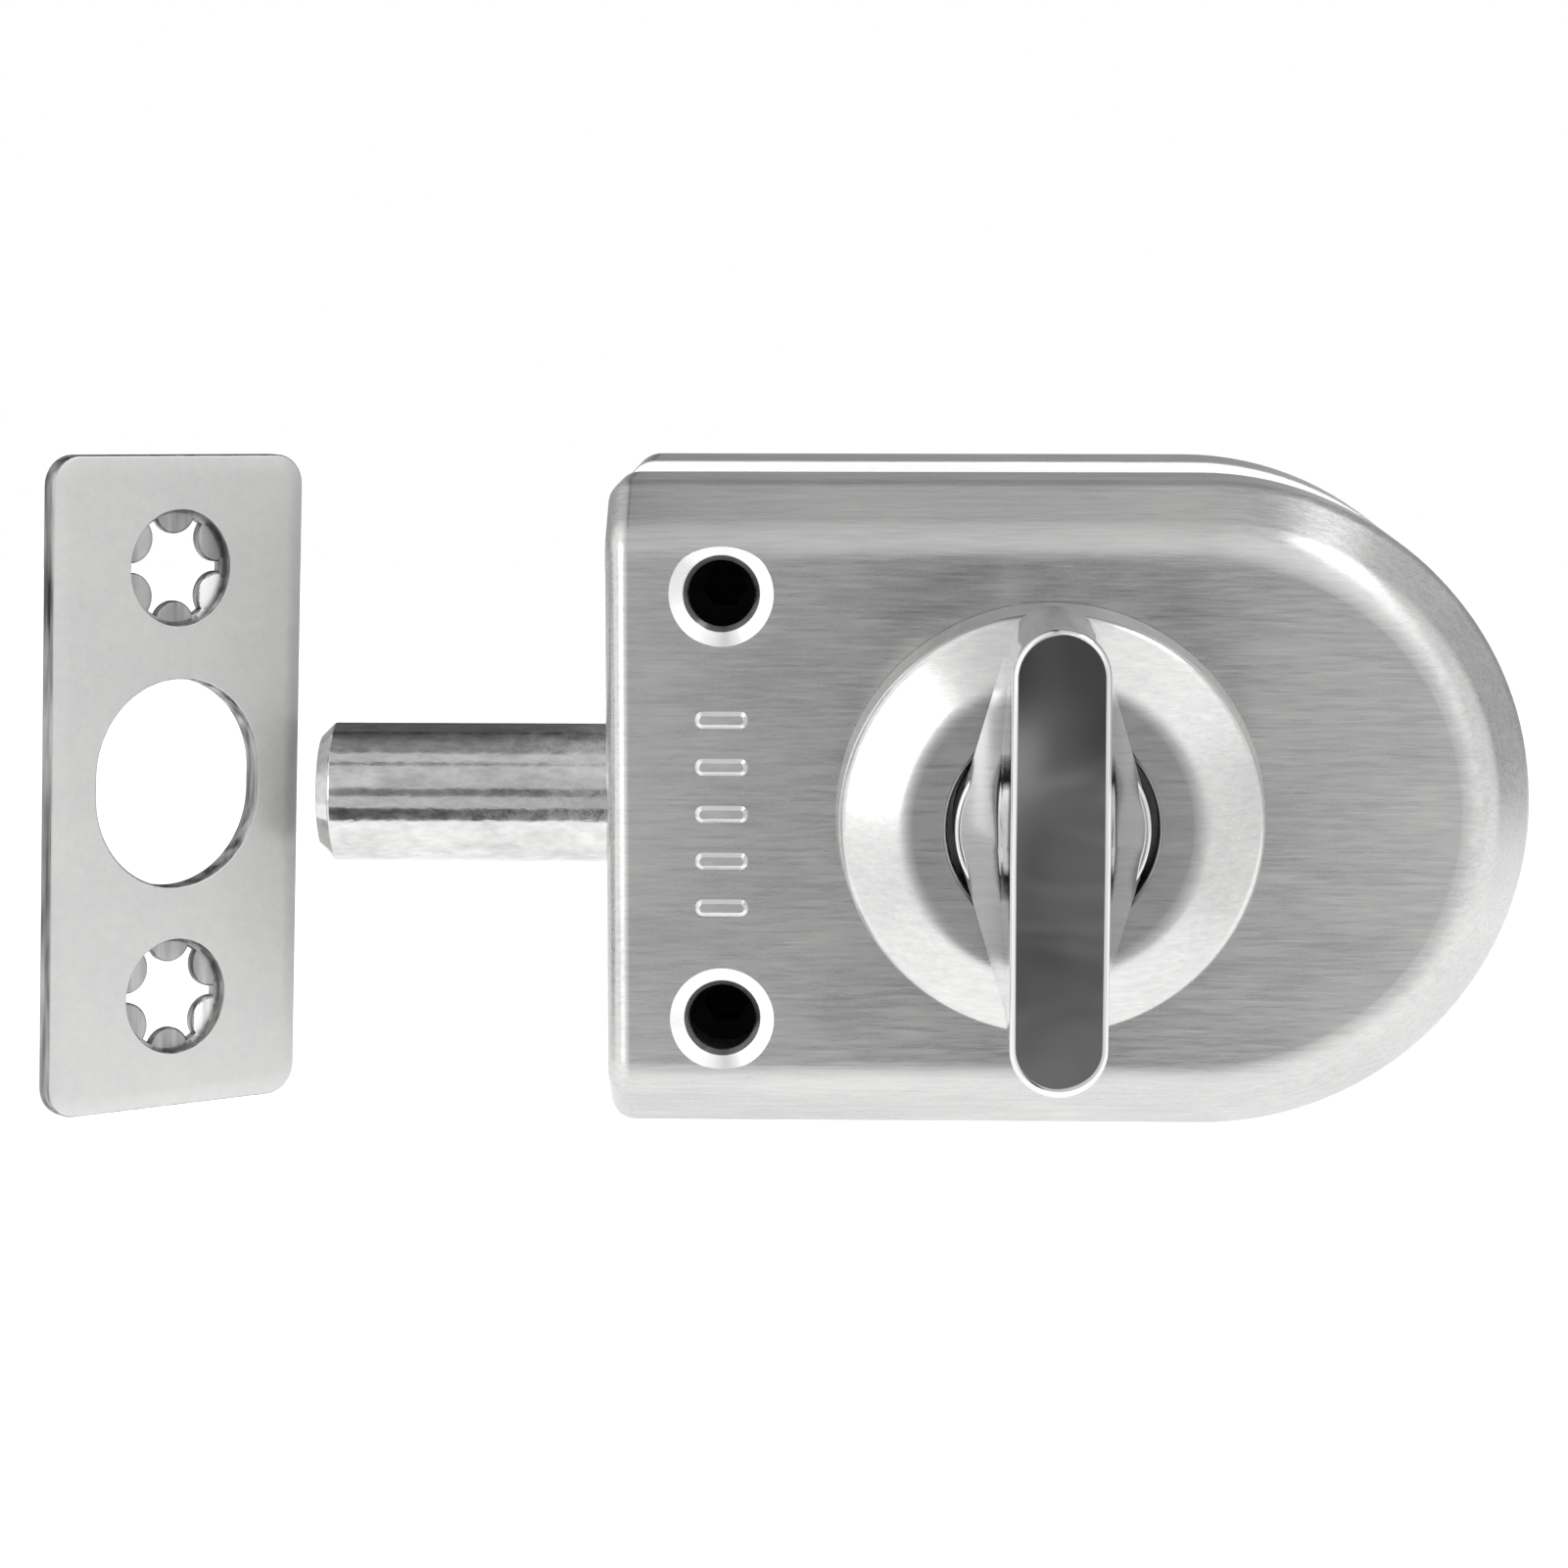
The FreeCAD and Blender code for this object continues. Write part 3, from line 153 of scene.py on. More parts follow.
# %% The tent's light
scene.view_settings.view_transform = "Standard"
world = bpy.data.worlds.new("white_tent")
scene.world = world
world.use_nodes = True
tent = world.node_tree
tent.nodes.clear()
direction = add_node(tent, "ShaderNodeTexCoord").outputs["Generated"]
split = add_node(tent, "ShaderNodeSeparateXYZ")
join(tent, direction, split.inputs[0])
sideways, away, upward = split.outputs

TO_OPENING = Vector((0.028, -0.99, -0.08))
OPENING_NARROWS = Vector((4.0, 1.0, 0.8))
TO_WINDOW = (0.45, -0.72, 0.53)
narrowed = vector_node(tent, "MULTIPLY", direction, OPENING_NARROWS)["Vector"]
from_opening = vector_node(tent, "DISTANCE", narrowed, TO_OPENING * OPENING_NARROWS)["Value"]
opening = graded(tent, from_opening, 0.03, 1.0, 0.11, 0.42)
below = graded(tent, upward, 0.16, 0.0, -0.155, -0.115)
blur = add_node(tent, "ShaderNodeTexNoise")
set_inputs(blur, {"Scale": 64.0, "Detail": 1.0})
join(tent, direction, blur.inputs["Vector"])
patches = graded(tent, blur.outputs["Fac"], 0.2, 1.9, 0.42, 0.58)
front = math_node(tent, "MAXIMUM", opening, product(tent, below, patches))
ceiling = graded(tent, upward, 1.0, 1.05, 0.35, 0.95)
left_side = graded(tent, sideways, 1.5, 0.95, -0.65, -0.1)
right_side = graded(tent, sideways, 0.0, 0.3, 0.3, 0.8)
sides = math_node(tent, "ADD", left_side, right_side)
behind = graded(tent, away, 1.0, 0.42, 0.0, 0.5)
near_window = vector_node(tent, "DOT_PRODUCT", direction, TO_WINDOW)["Value"]
window = graded(tent, near_window, 1.0, 1.55, 0.84, 0.98)

# %% [markdown]
# A little left of the opening stands what the round bolt mirrors as dark lines along its length: the edge
# of the table, two seams of the tent and its grey roof. A band is given as its low end, its high end, its
# soft edge and the share of light that it leaves. One upright band keeps the lines beside the opening.

# %% Table edge, seams and roof
TABLE_EDGE = (-0.62, -0.33, 0.04, 0.10)
LOW_SEAM = (0.05, 0.22, 0.05, 0.30)
HIGH_SEAM = (0.80, 0.84, 0.02, 0.45)
BESIDE_OPENING = (-0.19, -0.08, 0.02, 0.0)
ROOF_TAKES = 0.6


def band(tree, value, low, high, soft, shade):
    """1 outside the band from low to high, and shade inside it."""
    enters = graded(tree, value, 0.0, 1.0, low - soft, low)
    leaves = graded(tree, value, 0.0, 1.0, high, high + soft)
    inside = math_node(tree, "SUBTRACT", enters, leaves)
    return one_minus(tree, product(tree, inside, 1.0 - shade))


bands = [band(tent, upward, *place) for place in (TABLE_EDGE, LOW_SEAM, HIGH_SEAM)]
roof_starts = graded(tent, upward, 0.0, 1.0, 0.1, 0.2)
roof_reaches = graded(tent, away, 0.0, 1.0, -0.30, -0.18)
roof = one_minus(tent, product(tent, roof_starts, roof_reaches, ROOF_TAKES))
lines = product(tent, *bands, roof)
beside = one_minus(tent, band(tent, sideways, *BESIDE_OPENING))
lines_left = product(tent, beside, one_minus(tent, lines))
brightness = product(tent, front, ceiling, sides, behind, window, one_minus(tent, lines_left))
tent_light = add_node(tent, "ShaderNodeBackground")
join(tent, brightness, tent_light.inputs["Strength"])
seen_white = add_node(tent, "ShaderNodeBackground")
set_inputs(seen_white, {"Strength": 1.0, "Color": (1, 1, 1, 1)})
ray = add_node(tent, "ShaderNodeLightPath")
choose = add_node(tent, "ShaderNodeMixShader")
join(tent, ray.outputs["Is Camera Ray"], choose.inputs["Fac"])
join(tent, tent_light.outputs[0], choose.inputs[1])
join(tent, seen_white.outputs[0], choose.inputs[2])
output = add_node(tent, "ShaderNodeOutputWorld")
join(tent, choose.outputs[0], output.inputs["Surface"])
print("tent set, opening towards", [round(value, 2) for value in TO_OPENING])

# %% [markdown]
# Two soft boxes add what the tent lacks: one at the left in front, which the rosette's sloping ring
# mirrors on its left side, and one overhead on the right, which brightens the ridge of the round end.

# %% Soft boxes
LIGHTS_AIM_AT = Vector((0, -0.02, 0))


def soft_box(name, place, width, height, power):
    data = bpy.data.lights.new(name, "AREA")
    data.shape = "RECTANGLE"
    data.size = width
    data.size_y = height
    data.energy = power
    lamp = placed(name, data)
    lamp.location = place
    aim = LIGHTS_AIM_AT - Vector(place)
    lamp.rotation_euler = aim.to_track_quat("-Z", "Y").to_euler()


soft_box("soft_box_left", (-0.42, -0.50, 0.14), 0.22, 0.36, 0.5)
soft_box("soft_box_above", (0.30, -0.10, 0.46), 0.24, 0.16, 0.42)

# %% [markdown]
# The floor lies well below the lock, so that no hard shadow falls on it, and is as white as the tent.
# It starts a little way in front of the lock, so the lower part of the brushed face picks up some of it.

# %% Floor
FLOOR_DROP = 0.075
FLOOR_FRONT = -0.115
FLOOR_BACK = 1.0
FLOOR_SIDE = 0.45


def new_material(name):
    material = bpy.data.materials.new(name)
    material.use_nodes = True
    return material


def shader_of(material):
    return material.node_tree.nodes["Principled BSDF"]


def set_glow(shader, strength):
    set_inputs(shader, {"Emission Color": (1, 1, 1, 1), "Emission Strength": strength})


floor_mesh = bpy.data.meshes.new("floor")
corners = []
for side, y in ((-1, FLOOR_FRONT), (1, FLOOR_FRONT), (1, FLOOR_BACK), (-1, FLOOR_BACK)):
    corners.append((side * FLOOR_SIDE, y, -FLOOR_DROP))
floor_mesh.from_pydata(corners, [], [(0, 1, 2, 3)])
floor = placed("floor", floor_mesh)
floor_paint = new_material("pale_floor")
paint = shader_of(floor_paint)
set_inputs(paint, {"Base Color": (0.93, 0.93, 0.93, 1), "Roughness": 0.9})
set_glow(paint, 0.5)
floor_mesh.materials.append(floor_paint)
print("floor at", -FLOOR_DROP, "m")

# %% [markdown]
# ## Finishes
# Brushed steel is steel with thousands of fine parallel scratches. They are too fine to model, so a
# noise pattern does it: about sixteen times longer along the brushing than across it, it drives the
# tone, the roughness and a very shallow bump. The pattern reads Object coordinates, so it lies the same
# way on every piece, and stays with the piece when it moves.

# %% Brushed and satin steel
NOISE_LOW = 0.3
NOISE_HIGH = 0.7
NOISE_ROUGHNESS = 0.6


def stretched_noise(tree, cycles, detail):
    """Noise with its own number of cycles per metre along X, Y and Z."""
    coords = add_node(tree, "ShaderNodeTexCoord")
    mapping = add_node(tree, "ShaderNodeMapping")
    mapping.inputs["Scale"].default_value = cycles
    noise = add_node(tree, "ShaderNodeTexNoise")
    set_inputs(noise, {"Scale": 1.0, "Detail": detail, "Roughness": NOISE_ROUGHNESS})
    join(tree, coords.outputs["Object"], mapping.inputs["Vector"])
    join(tree, mapping.outputs["Vector"], noise.inputs["Vector"])
    return noise.outputs["Fac"]


def ranged(tree, value, low, high, from_low=NOISE_LOW, from_high=NOISE_HIGH):
    """Maps a noise, which mostly lies between its low and its high, to the range low to high."""
    return graded(tree, value, low, high, from_low, from_high, "LINEAR")


def tinted(tree, value, dark, light):
    """A colour between two greys or tints, chosen by a noise."""
    ramp = add_node(tree, "ShaderNodeValToRGB")
    ends = ((NOISE_LOW, dark), (NOISE_HIGH, light))
    for element, (position, colour) in zip(ramp.color_ramp.elements, ends):
        element.position = position
        element.color = (*colour, 1)
    join(tree, value, ramp.inputs["Fac"])
    return ramp.outputs["Color"]


def bumped(tree, height, depth):
    bump = add_node(tree, "ShaderNodeBump")
    set_inputs(bump, {"Strength": 1.0, "Distance": depth})
    join(tree, height, bump.inputs["Height"])
    return bump.outputs["Normal"]


def grey(level, blue=0.0):
    """A grey, with a little more or less blue in it."""
    return (level, level, level + blue)


# The brushing runs along X, tilted by half a degree: exactly along X it would have no direction on a
# wall that faces X, and such a wall would come out black.
BRUSHING = (1, 0.009, 0.009)
CLOUD_CYCLES = (90, 140, 140)
COARSER = 2.5
COARSE_DETAIL = 0.66


def metal(name, dark, light, rough, streaks, depth, metallic=1.0, brushed=0.0, detail=3.0):
    """A metal whose tone, roughness and relief follow stretched noises.

    dark and light are the tone's ends, rough the roughness' ends, streaks the cycles per metre of the
    fine pattern along X, Y and Z, and depth how deep its scratches are in metres. Brushed, from 0 to 1,
    smears reflections across scratches that run along X, and detail is how finely the noise is broken up.
    """
    material = new_material(name)
    tree = material.node_tree
    shader = shader_of(material)
    shader.inputs["Metallic"].default_value = metallic
    fine = stretched_noise(tree, streaks, detail)
    coarse = stretched_noise(tree, tuple(value / COARSER for value in streaks), detail * COARSE_DETAIL)
    cloud = stretched_noise(tree, CLOUD_CYCLES, 2.0)
    scratches = math_node(tree, "ADD", product(tree, fine, 0.5), product(tree, coarse, 0.5))
    tone = math_node(tree, "ADD", product(tree, scratches, 0.7), product(tree, cloud, 0.3))
    join(tree, tinted(tree, tone, dark, light), shader.inputs["Base Color"])
    join(tree, ranged(tree, tone, *rough), shader.inputs["Roughness"])
    join(tree, bumped(tree, scratches, depth), shader.inputs["Normal"])
    if brushed:
        shader.inputs["Anisotropic"].default_value = brushed
        normal = add_node(tree, "ShaderNodeNewGeometry").outputs["Normal"]
        across = vector_node(tree, "CROSS_PRODUCT", normal, BRUSHING)["Vector"]
        join(tree, across, shader.inputs["Tangent"])
    return material


case_steel = metal(
    "brushed_case_steel", grey(0.48), grey(0.72, -0.01), (0.23, 0.33), (380, 6200, 6200), 0.00001,
    brushed=0.88,
)
bolt_steel = metal(
    "drawn_bolt_steel", grey(0.44), grey(0.80, -0.01), (0.06, 0.20), (900, 1800, 1800), 0.000022
)
strike_finish = metal(
    "satin_strike_steel", grey(0.58), grey(0.67, -0.01), (0.42, 0.50), (1500, 3000, 3000), 0.000008
)
mill_steel = metal("mill_steel", grey(0.42), grey(0.56, -0.01), (0.36, 0.5), (500, 2000, 2000), 0.00001)
knob_steel = metal(
    "polished_thumbturn_steel", grey(0.70), grey(0.76), (0.06, 0.12), (60, 60, 75), 0.0011, detail=0.5
)
dark_zinc = metal(
    "dark_zinc", grey(0.12, 0.01), grey(0.24, 0.01), (0.35, 0.5), (3000, 3000, 3000), 0.00001
)
black_oxide = metal(
    "black_oxide", grey(0.006), grey(0.014), (0.6, 0.8), (3000, 3000, 3000), 0.00001, metallic=0.0
)
shader_of(black_oxide).inputs["Specular IOR Level"].default_value = 0.1
# The raised bars' steel is smooth and not brushed, and its tone is set above the case's: a painted
# highlight that makes them stand out.
bar_steel_painted_bright = metal(
    "smooth_bar_steel_painted_bright", grey(0.66), grey(0.78, -0.01), (0.18, 0.28), (900, 2500, 2500), 0.000004
)
turned_brass = metal(
    "turned_brass", (0.62, 0.45, 0.18), (0.76, 0.58, 0.26), (0.22, 0.34), (4000, 4000, 4000), 0.000008
)
print("metals made")

# %% [markdown]
# The rosette has two finishes. Its sloping ring is turned and smooth, and its flat middle has the same
# streaks as the case, straight across, and a tone darkened by painted shade. The distance from the axis,
# found from the Object coordinates, fades one into the other.

# %% Rosette steel
RING_STARTS = 10.6 * MM
RING_FULL = 12.1 * MM


def scale_tone(tree, shader, amount):
    """Multiplies a shader's base colour by an output: under 1 is darker, over 1 is brighter."""
    scaled = add_node(tree, "ShaderNodeVectorMath", operation="SCALE")
    join(tree, shader.inputs["Base Color"].links[0].from_socket, scaled.inputs[0])
    join(tree, amount, scaled.inputs["Scale"])
    join(tree, scaled.outputs["Vector"], shader.inputs["Base Color"])


def axis_distance(tree):
    """The distance of a point from the thumbturn's axis, which is the line x = 0, z = 0."""
    coords = add_node(tree, "ShaderNodeTexCoord")
    parts = add_node(tree, "ShaderNodeSeparateXYZ")
    join(tree, coords.outputs["Object"], parts.inputs[0])
    squares = [product(tree, parts.outputs[axis], parts.outputs[axis]) for axis in "XZ"]
    return math_node(tree, "SQRT", math_node(tree, "ADD", *squares))


def make_rosette_steel():
    material = metal(
        "rosette_steel", grey(0.54), grey(0.74, -0.01), (0.24, 0.36), (380, 6200, 6200), 0.00001
    )
    tree = material.node_tree
    shader = shader_of(material)
    on_ring = graded(tree, axis_distance(tree), 0.0, 1.0, RING_STARTS, RING_FULL)
    blend_rough = add_node(tree, "ShaderNodeMix", data_type="FLOAT")
    join(tree, on_ring, blend_rough.inputs["Factor"])
    join(tree, shader.inputs["Roughness"].links[0].from_socket, blend_rough.inputs["A"])
    ring_noise = stretched_noise(tree, (1500, 1500, 1500), 3.0)
    join(tree, ranged(tree, ring_noise, 0.20, 0.27), blend_rough.inputs["B"])
    join(tree, blend_rough.outputs["Result"], shader.inputs["Roughness"])
    bump = shader.inputs["Normal"].links[0].from_node
    join(tree, ranged(tree, on_ring, 1.0, 0.12, 0.0, 1.0), bump.inputs["Strength"])
    # Painted shade: the flat middle's tone is scaled down to 0.72, while the ring keeps its own.
    scale_tone(tree, shader, ranged(tree, on_ring, 0.72, 1.0, 0.0, 1.0))
    return material


rosette_steel = make_rosette_steel()
print("rosette steel made")

# %% [markdown]
# The strike plate is cut from sheet, and its cut edges and stamped tabs are duller than its face. The
# mesh carries an attribute for this, 0 on the face and up to 1 on those, which darkens the tone. On one tab
# of each hole, the lower one on the right, it is under 0, which brightens it: a painted highlight.

# %% Dull edges and a painted highlight


def add_dull_edges_and_highlight(material):
    tree = material.node_tree
    dull_and_highlight = add_node(tree, "ShaderNodeAttribute", attribute_name="dull_and_highlight")
    cut_marks = ranged(tree, stretched_noise(tree, (900, 900, 90), 2.0), 0.25, 0.95)
    loss = product(tree, dull_and_highlight.outputs["Fac"], cut_marks)
    scale_tone(tree, shader_of(material), one_minus(tree, loss))


add_dull_edges_and_highlight(strike_finish)
print("dull edges added to", strike_finish.name)

# %% [markdown]
# The case's sheet paints light and shade with an attribute of its own: above 0 its tone goes towards bright
# steel, a painted highlight, and below 0 towards a dark grey, a painted shade.

# %% Painted highlight and shade on the case
# A Mix node has an A, a B and a Result for each kind of data, so those of a colour go by number.
COLOUR_A = 6
COLOUR_B = 7
COLOUR_RESULT = 2


def add_painted_dish_light(material, highlight_tone, shade_tone):
    tree = material.node_tree
    shader = shader_of(material)
    painted_dish_light = add_node(tree, "ShaderNodeAttribute", attribute_name="painted_dish_light").outputs["Fac"]
    colour = shader.inputs["Base Color"].links[0].from_socket
    # Painted light: a highlight where the attribute is above 0, a shade where it is below 0.
    for amount, tone in ((painted_dish_light, highlight_tone), (product(tree, painted_dish_light, -1.0), shade_tone)):
        mix = add_node(tree, "ShaderNodeMix", data_type="RGBA", clamp_factor=True)
        join(tree, amount, mix.inputs["Factor"])
        join(tree, colour, mix.inputs[COLOUR_A])
        mix.inputs[COLOUR_B].default_value = (*grey(tone), 1)
        colour = mix.outputs[COLOUR_RESULT]
    join(tree, colour, shader.inputs["Base Color"])


add_painted_dish_light(case_steel, 0.9, 0.16)
print("worked spots added to", case_steel.name)

# %% [markdown]
# Rubber has hardly any gloss. A fine, even noise gives it the slightly grained skin of a cut sheet. The
# pale sheet gets a weak glow, painted light that keeps it white where it lies in shade in the slot.

# %% Rubber


def rubber(name, dark, light, rough):
    return metal(name, dark, light, rough, (2500, 2500, 2500), 0.00002, metallic=0.0)


black_rubber = rubber("black_rubber", grey(0.012), grey(0.03), (0.6, 0.8))
pale_rubber = rubber("pale_rubber", grey(0.80, -0.02), grey(0.90, -0.01), (0.45, 0.6))
# Painted light: the glow brightens the pale gasket in the shade of the slot.
set_glow(shader_of(pale_rubber), 0.45)
print("rubbers made")

# %% [markdown]
# ## From drawn lines to sheet metal
# A pressed cover is one section line, drawn once, that runs along an outline. We draw the section as
# straight lines and round its corners with arcs, as a press tool would.

# %% A line with rounded corners


def rounded_line(corners, steps):
    """corners: (x, y, radius). The first and the last corner are ends and stay sharp."""
    points = [Vector(corners[0][:2])]
    for before, corner, after in zip(corners, corners[1:], corners[2:]):
        middle = Vector(corner[:2])
        back = (Vector(before[:2]) - middle).normalized()
        ahead = (Vector(after[:2]) - middle).normalized()
        half_angle = back.angle(ahead) / 2
        reach = corner[2] / math.tan(half_angle)
        centre = middle + (back + ahead).normalized() * (corner[2] / math.sin(half_angle))
        start = middle + back * reach - centre
        sweep = math.pi - 2 * half_angle
        turn = math.copysign(sweep, start.x * ahead.y - start.y * ahead.x)
        for step in range(steps + 1):
            cosine = math.cos(turn * step / steps)
            sine = math.sin(turn * step / steps)
            spoke = Vector((start.x * cosine - start.y * sine, start.x * sine + start.y * cosine))
            points.append(centre + spoke)
    points.append(Vector(corners[-1][:2]))
    return points


print("a quarter arc has", len(rounded_line([(0, 1, 0), (0, 0, 0.5), (1, 0, 0)], 6)) - 2, "points")

# %% [markdown]
# Every mesh is finished in the same way: points that coincide are merged, faces are turned outwards, and
# the shading is smooth except over sharp edges. A Weighted Normal modifier lets the large flat faces
# keep their own direction right up to the small roundings beside them.

# %% Finishing a mesh
SAME_POINT = 1e-7


def clean(mesh, drop_slivers=False):
    """Merges points that coincide and turns the faces outwards."""
    work = bmesh.new()
    work.from_mesh(mesh)
    bmesh.ops.remove_doubles(work, verts=work.verts, dist=SAME_POINT)
    if drop_slivers:
        bmesh.ops.dissolve_degenerate(work, edges=work.edges, dist=SAME_POINT)
    bmesh.ops.recalc_face_normals(work, faces=work.faces)
    work.to_mesh(mesh)
    work.free()


def finished(name, mesh, material, body, replaced=(), sharp_degrees=32):
    clean(mesh)
    mesh.materials.clear()
    mesh.materials.append(material)
    mesh.shade_smooth()
    mesh.set_sharp_from_angle(angle=math.radians(sharp_degrees))
    mesh.name = name
    piece = placed(name, mesh)
    weighted = piece.modifiers.new("flat_faces_stay_flat", "WEIGHTED_NORMAL")
    weighted.keep_sharp = True
    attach(piece, body)
    if replaced:
        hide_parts(*replaced)
    print(name, len(mesh.polygons), "faces")
    return piece


def as_mesh(name, work):
    mesh = bpy.data.meshes.new(name)
    work.to_mesh(mesh)
    work.free()
    return mesh


def open_edges(mesh):
    """How many edges have other than two faces, which is 0 for a closed mesh."""
    work = bmesh.new()
    work.from_mesh(mesh)
    count = sum(1 for edge in work.edges if len(edge.link_faces) != 2)
    work.free()
    return count


# %% [markdown]
# ## The front cover
# Such a cover is pressed from stainless sheet, taken here as 1.2 mm. Three of its sides have a broad bevel
# that meets the face in a soft ridge; the bolt end is a plain upright wall. One section line runs along
# the top, round the half-round end and back along the bottom. At the bolt end the same section shrinks
# inwards over a quarter turn, which rounds that end's edge without any modifier.

# %% Sizes of the front cover, in mm
LEFT = -33.8
ARC_X = 12.0
HALF = 25.0
RIM = -12.0
SHOULDER = -21.5
FACE = -27.0
BEVEL = 3.9
RIDGE_ROUND = 4.0
SHOULDER_ROUND = 2.6
END_ROUND = 1.9
WALL = 1.2
FACE_RUN = 3.0
SECTION_STEPS = 9
ARC_STEPS = 72
END_STEPS = 8

drop = SHOULDER - FACE
slant = math.hypot(BEVEL, drop)
print("bevel length", round(slant, 2), "mm")

# %% The section, and its copies further in


def cover_section(inwards):
    """The section as (distance in from the outline, y), moved inwards by a distance, in mm."""
    shoulder_y = SHOULDER + (slant - drop) * inwards / BEVEL
    ridge_in = (SHOULDER * BEVEL + inwards * slant - BEVEL * (FACE + inwards)) / drop
    corners = [
        (inwards, RIM, 0),
        (inwards, shoulder_y, SHOULDER_ROUND - inwards),
        (ridge_in, FACE + inwards, RIDGE_ROUND - inwards),
        (ridge_in + FACE_RUN, FACE + inwards, 0),
    ]
    # The last corner only gives the face's direction, and is left out.
    return rounded_line(corners, SECTION_STEPS)[:-1]


def cover_skin(work, inwards):
    """One skin of the cover: rows of points from the bolt end round to the bolt end."""
    end_round = END_ROUND - inwards
    stations = []
    for step in range(END_STEPS + 1):
        angle = math.pi / 2 * step / END_STEPS
        x = LEFT + inwards + end_round * (1 - math.cos(angle))
        stations.append((x, inwards + end_round * (1 - math.sin(angle))))
    rows = []
    for x, inset in stations:
        rows.append([(x, y, HALF - into) for into, y in cover_section(inset)])
    for step in range(ARC_STEPS + 1):
        angle = math.pi / 2 - math.pi * step / ARC_STEPS
        row = []
        for into, y in cover_section(inwards):
            radius = HALF - into
            row.append((ARC_X + radius * math.cos(angle), y, radius * math.sin(angle)))
        rows.append(row)
    rows += [[(x, y, -z) for x, y, z in row] for row in rows[END_STEPS::-1]]
    rows = [[work.verts.new(point) for point in row] for row in rows]
    for row, following in zip(rows, rows[1:]):
        for number in range(len(row) - 1):
            work.faces.new((row[number], row[number + 1], following[number + 1], following[number]))
    ends = [row[-1] for row in rows]
    for number in range(END_STEPS):
        work.faces.new((ends[number], ends[number + 1], ends[-number - 2], ends[-number - 1]))
    work.faces.new(ends[END_STEPS:len(ends) - END_STEPS])
    work.faces.new(rows[0] + rows[-1][::-1])
    return [row[0] for row in rows]


cover_work = bmesh.new()
outer_rim = cover_skin(cover_work, 0.0)
inner_rim = cover_skin(cover_work, WALL)
for number in range(len(outer_rim)):
    following = (number + 1) % len(outer_rim)
    cover_work.faces.new((outer_rim[number], outer_rim[following], inner_rim[following], inner_rim[number]))
bmesh.ops.recalc_face_normals(cover_work, faces=cover_work.faces)
bmesh.ops.scale(cover_work, verts=cover_work.verts, vec=(MM, MM, MM))
cover_mesh = as_mesh("cover_sheet", cover_work)
print("cover sheet:", len(cover_mesh.polygons), "faces, open edges:", open_edges(cover_mesh))

# %% [markdown]
# ## A lathe made of nodes
# Much of a lock is turned on a lathe: the rosette, the dimples round the key holes, the bolt's hole. A
# small Geometry Nodes tree is our lathe. It takes a line drawn as (radius, distance), rounds each corner
# by the radius stored at that corner, and lays the line round the Y axis on a grid: one column of the
# grid for each step round. Merging the points by distance then closes the seam and the poles.

# %% Socket helpers for geometry trees


def new_tree(name, sizes):
    """An empty Geometry Nodes tree whose inputs are a geometry, named sizes and a material."""
    tree = bpy.data.node_groups.new(name, "GeometryNodeTree")
    for title, kind in {"Geometry": "Geometry", **sizes, "Material": "Material"}.items():
        tree.interface.new_socket(title, in_out="INPUT", socket_type="NodeSocket" + kind)
    tree.interface.new_socket("Geometry", in_out="OUTPUT", socket_type="NodeSocketGeometry")
    return tree, add_node(tree, "NodeGroupInput"), add_node(tree, "NodeGroupOutput")


def close_tree(tree, geometry, given, result):
    """Ends a tree in Realize Instances and Set Material."""
    real = add_node(tree, "GeometryNodeRealizeInstances")
    painted = add_node(tree, "GeometryNodeSetMaterial")
    join(tree, geometry, real.inputs["Geometry"])
    join(tree, real.outputs["Geometry"], painted.inputs["Geometry"])
    join(tree, given.outputs["Material"], painted.inputs["Material"])
    join(tree, painted.outputs["Geometry"], result.inputs["Geometry"])


def with_modifiers(item):
    """The plain mesh that an object's modifiers make."""
    graph = bpy.context.evaluated_depsgraph_get()
    return bpy.data.meshes.new_from_object(item.evaluated_get(graph), depsgraph=graph)


def run_tree(tree, start, sizes):
    """Runs a tree on a mesh and returns the plain mesh that it makes."""
    holder = placed("tree_holder", start)
    modifier = holder.modifiers.new("tree", "NODES")
    modifier.node_group = tree
    for item in tree.interface.items_tree:
        if item.in_out == "INPUT" and item.name in sizes:
            modifier[item.identifier] = sizes[item.name]
    made = with_modifiers(holder)
    bpy.data.objects.remove(holder)
    return made


# %% The lathe tree
LATHE_CORNER_STEPS = 6


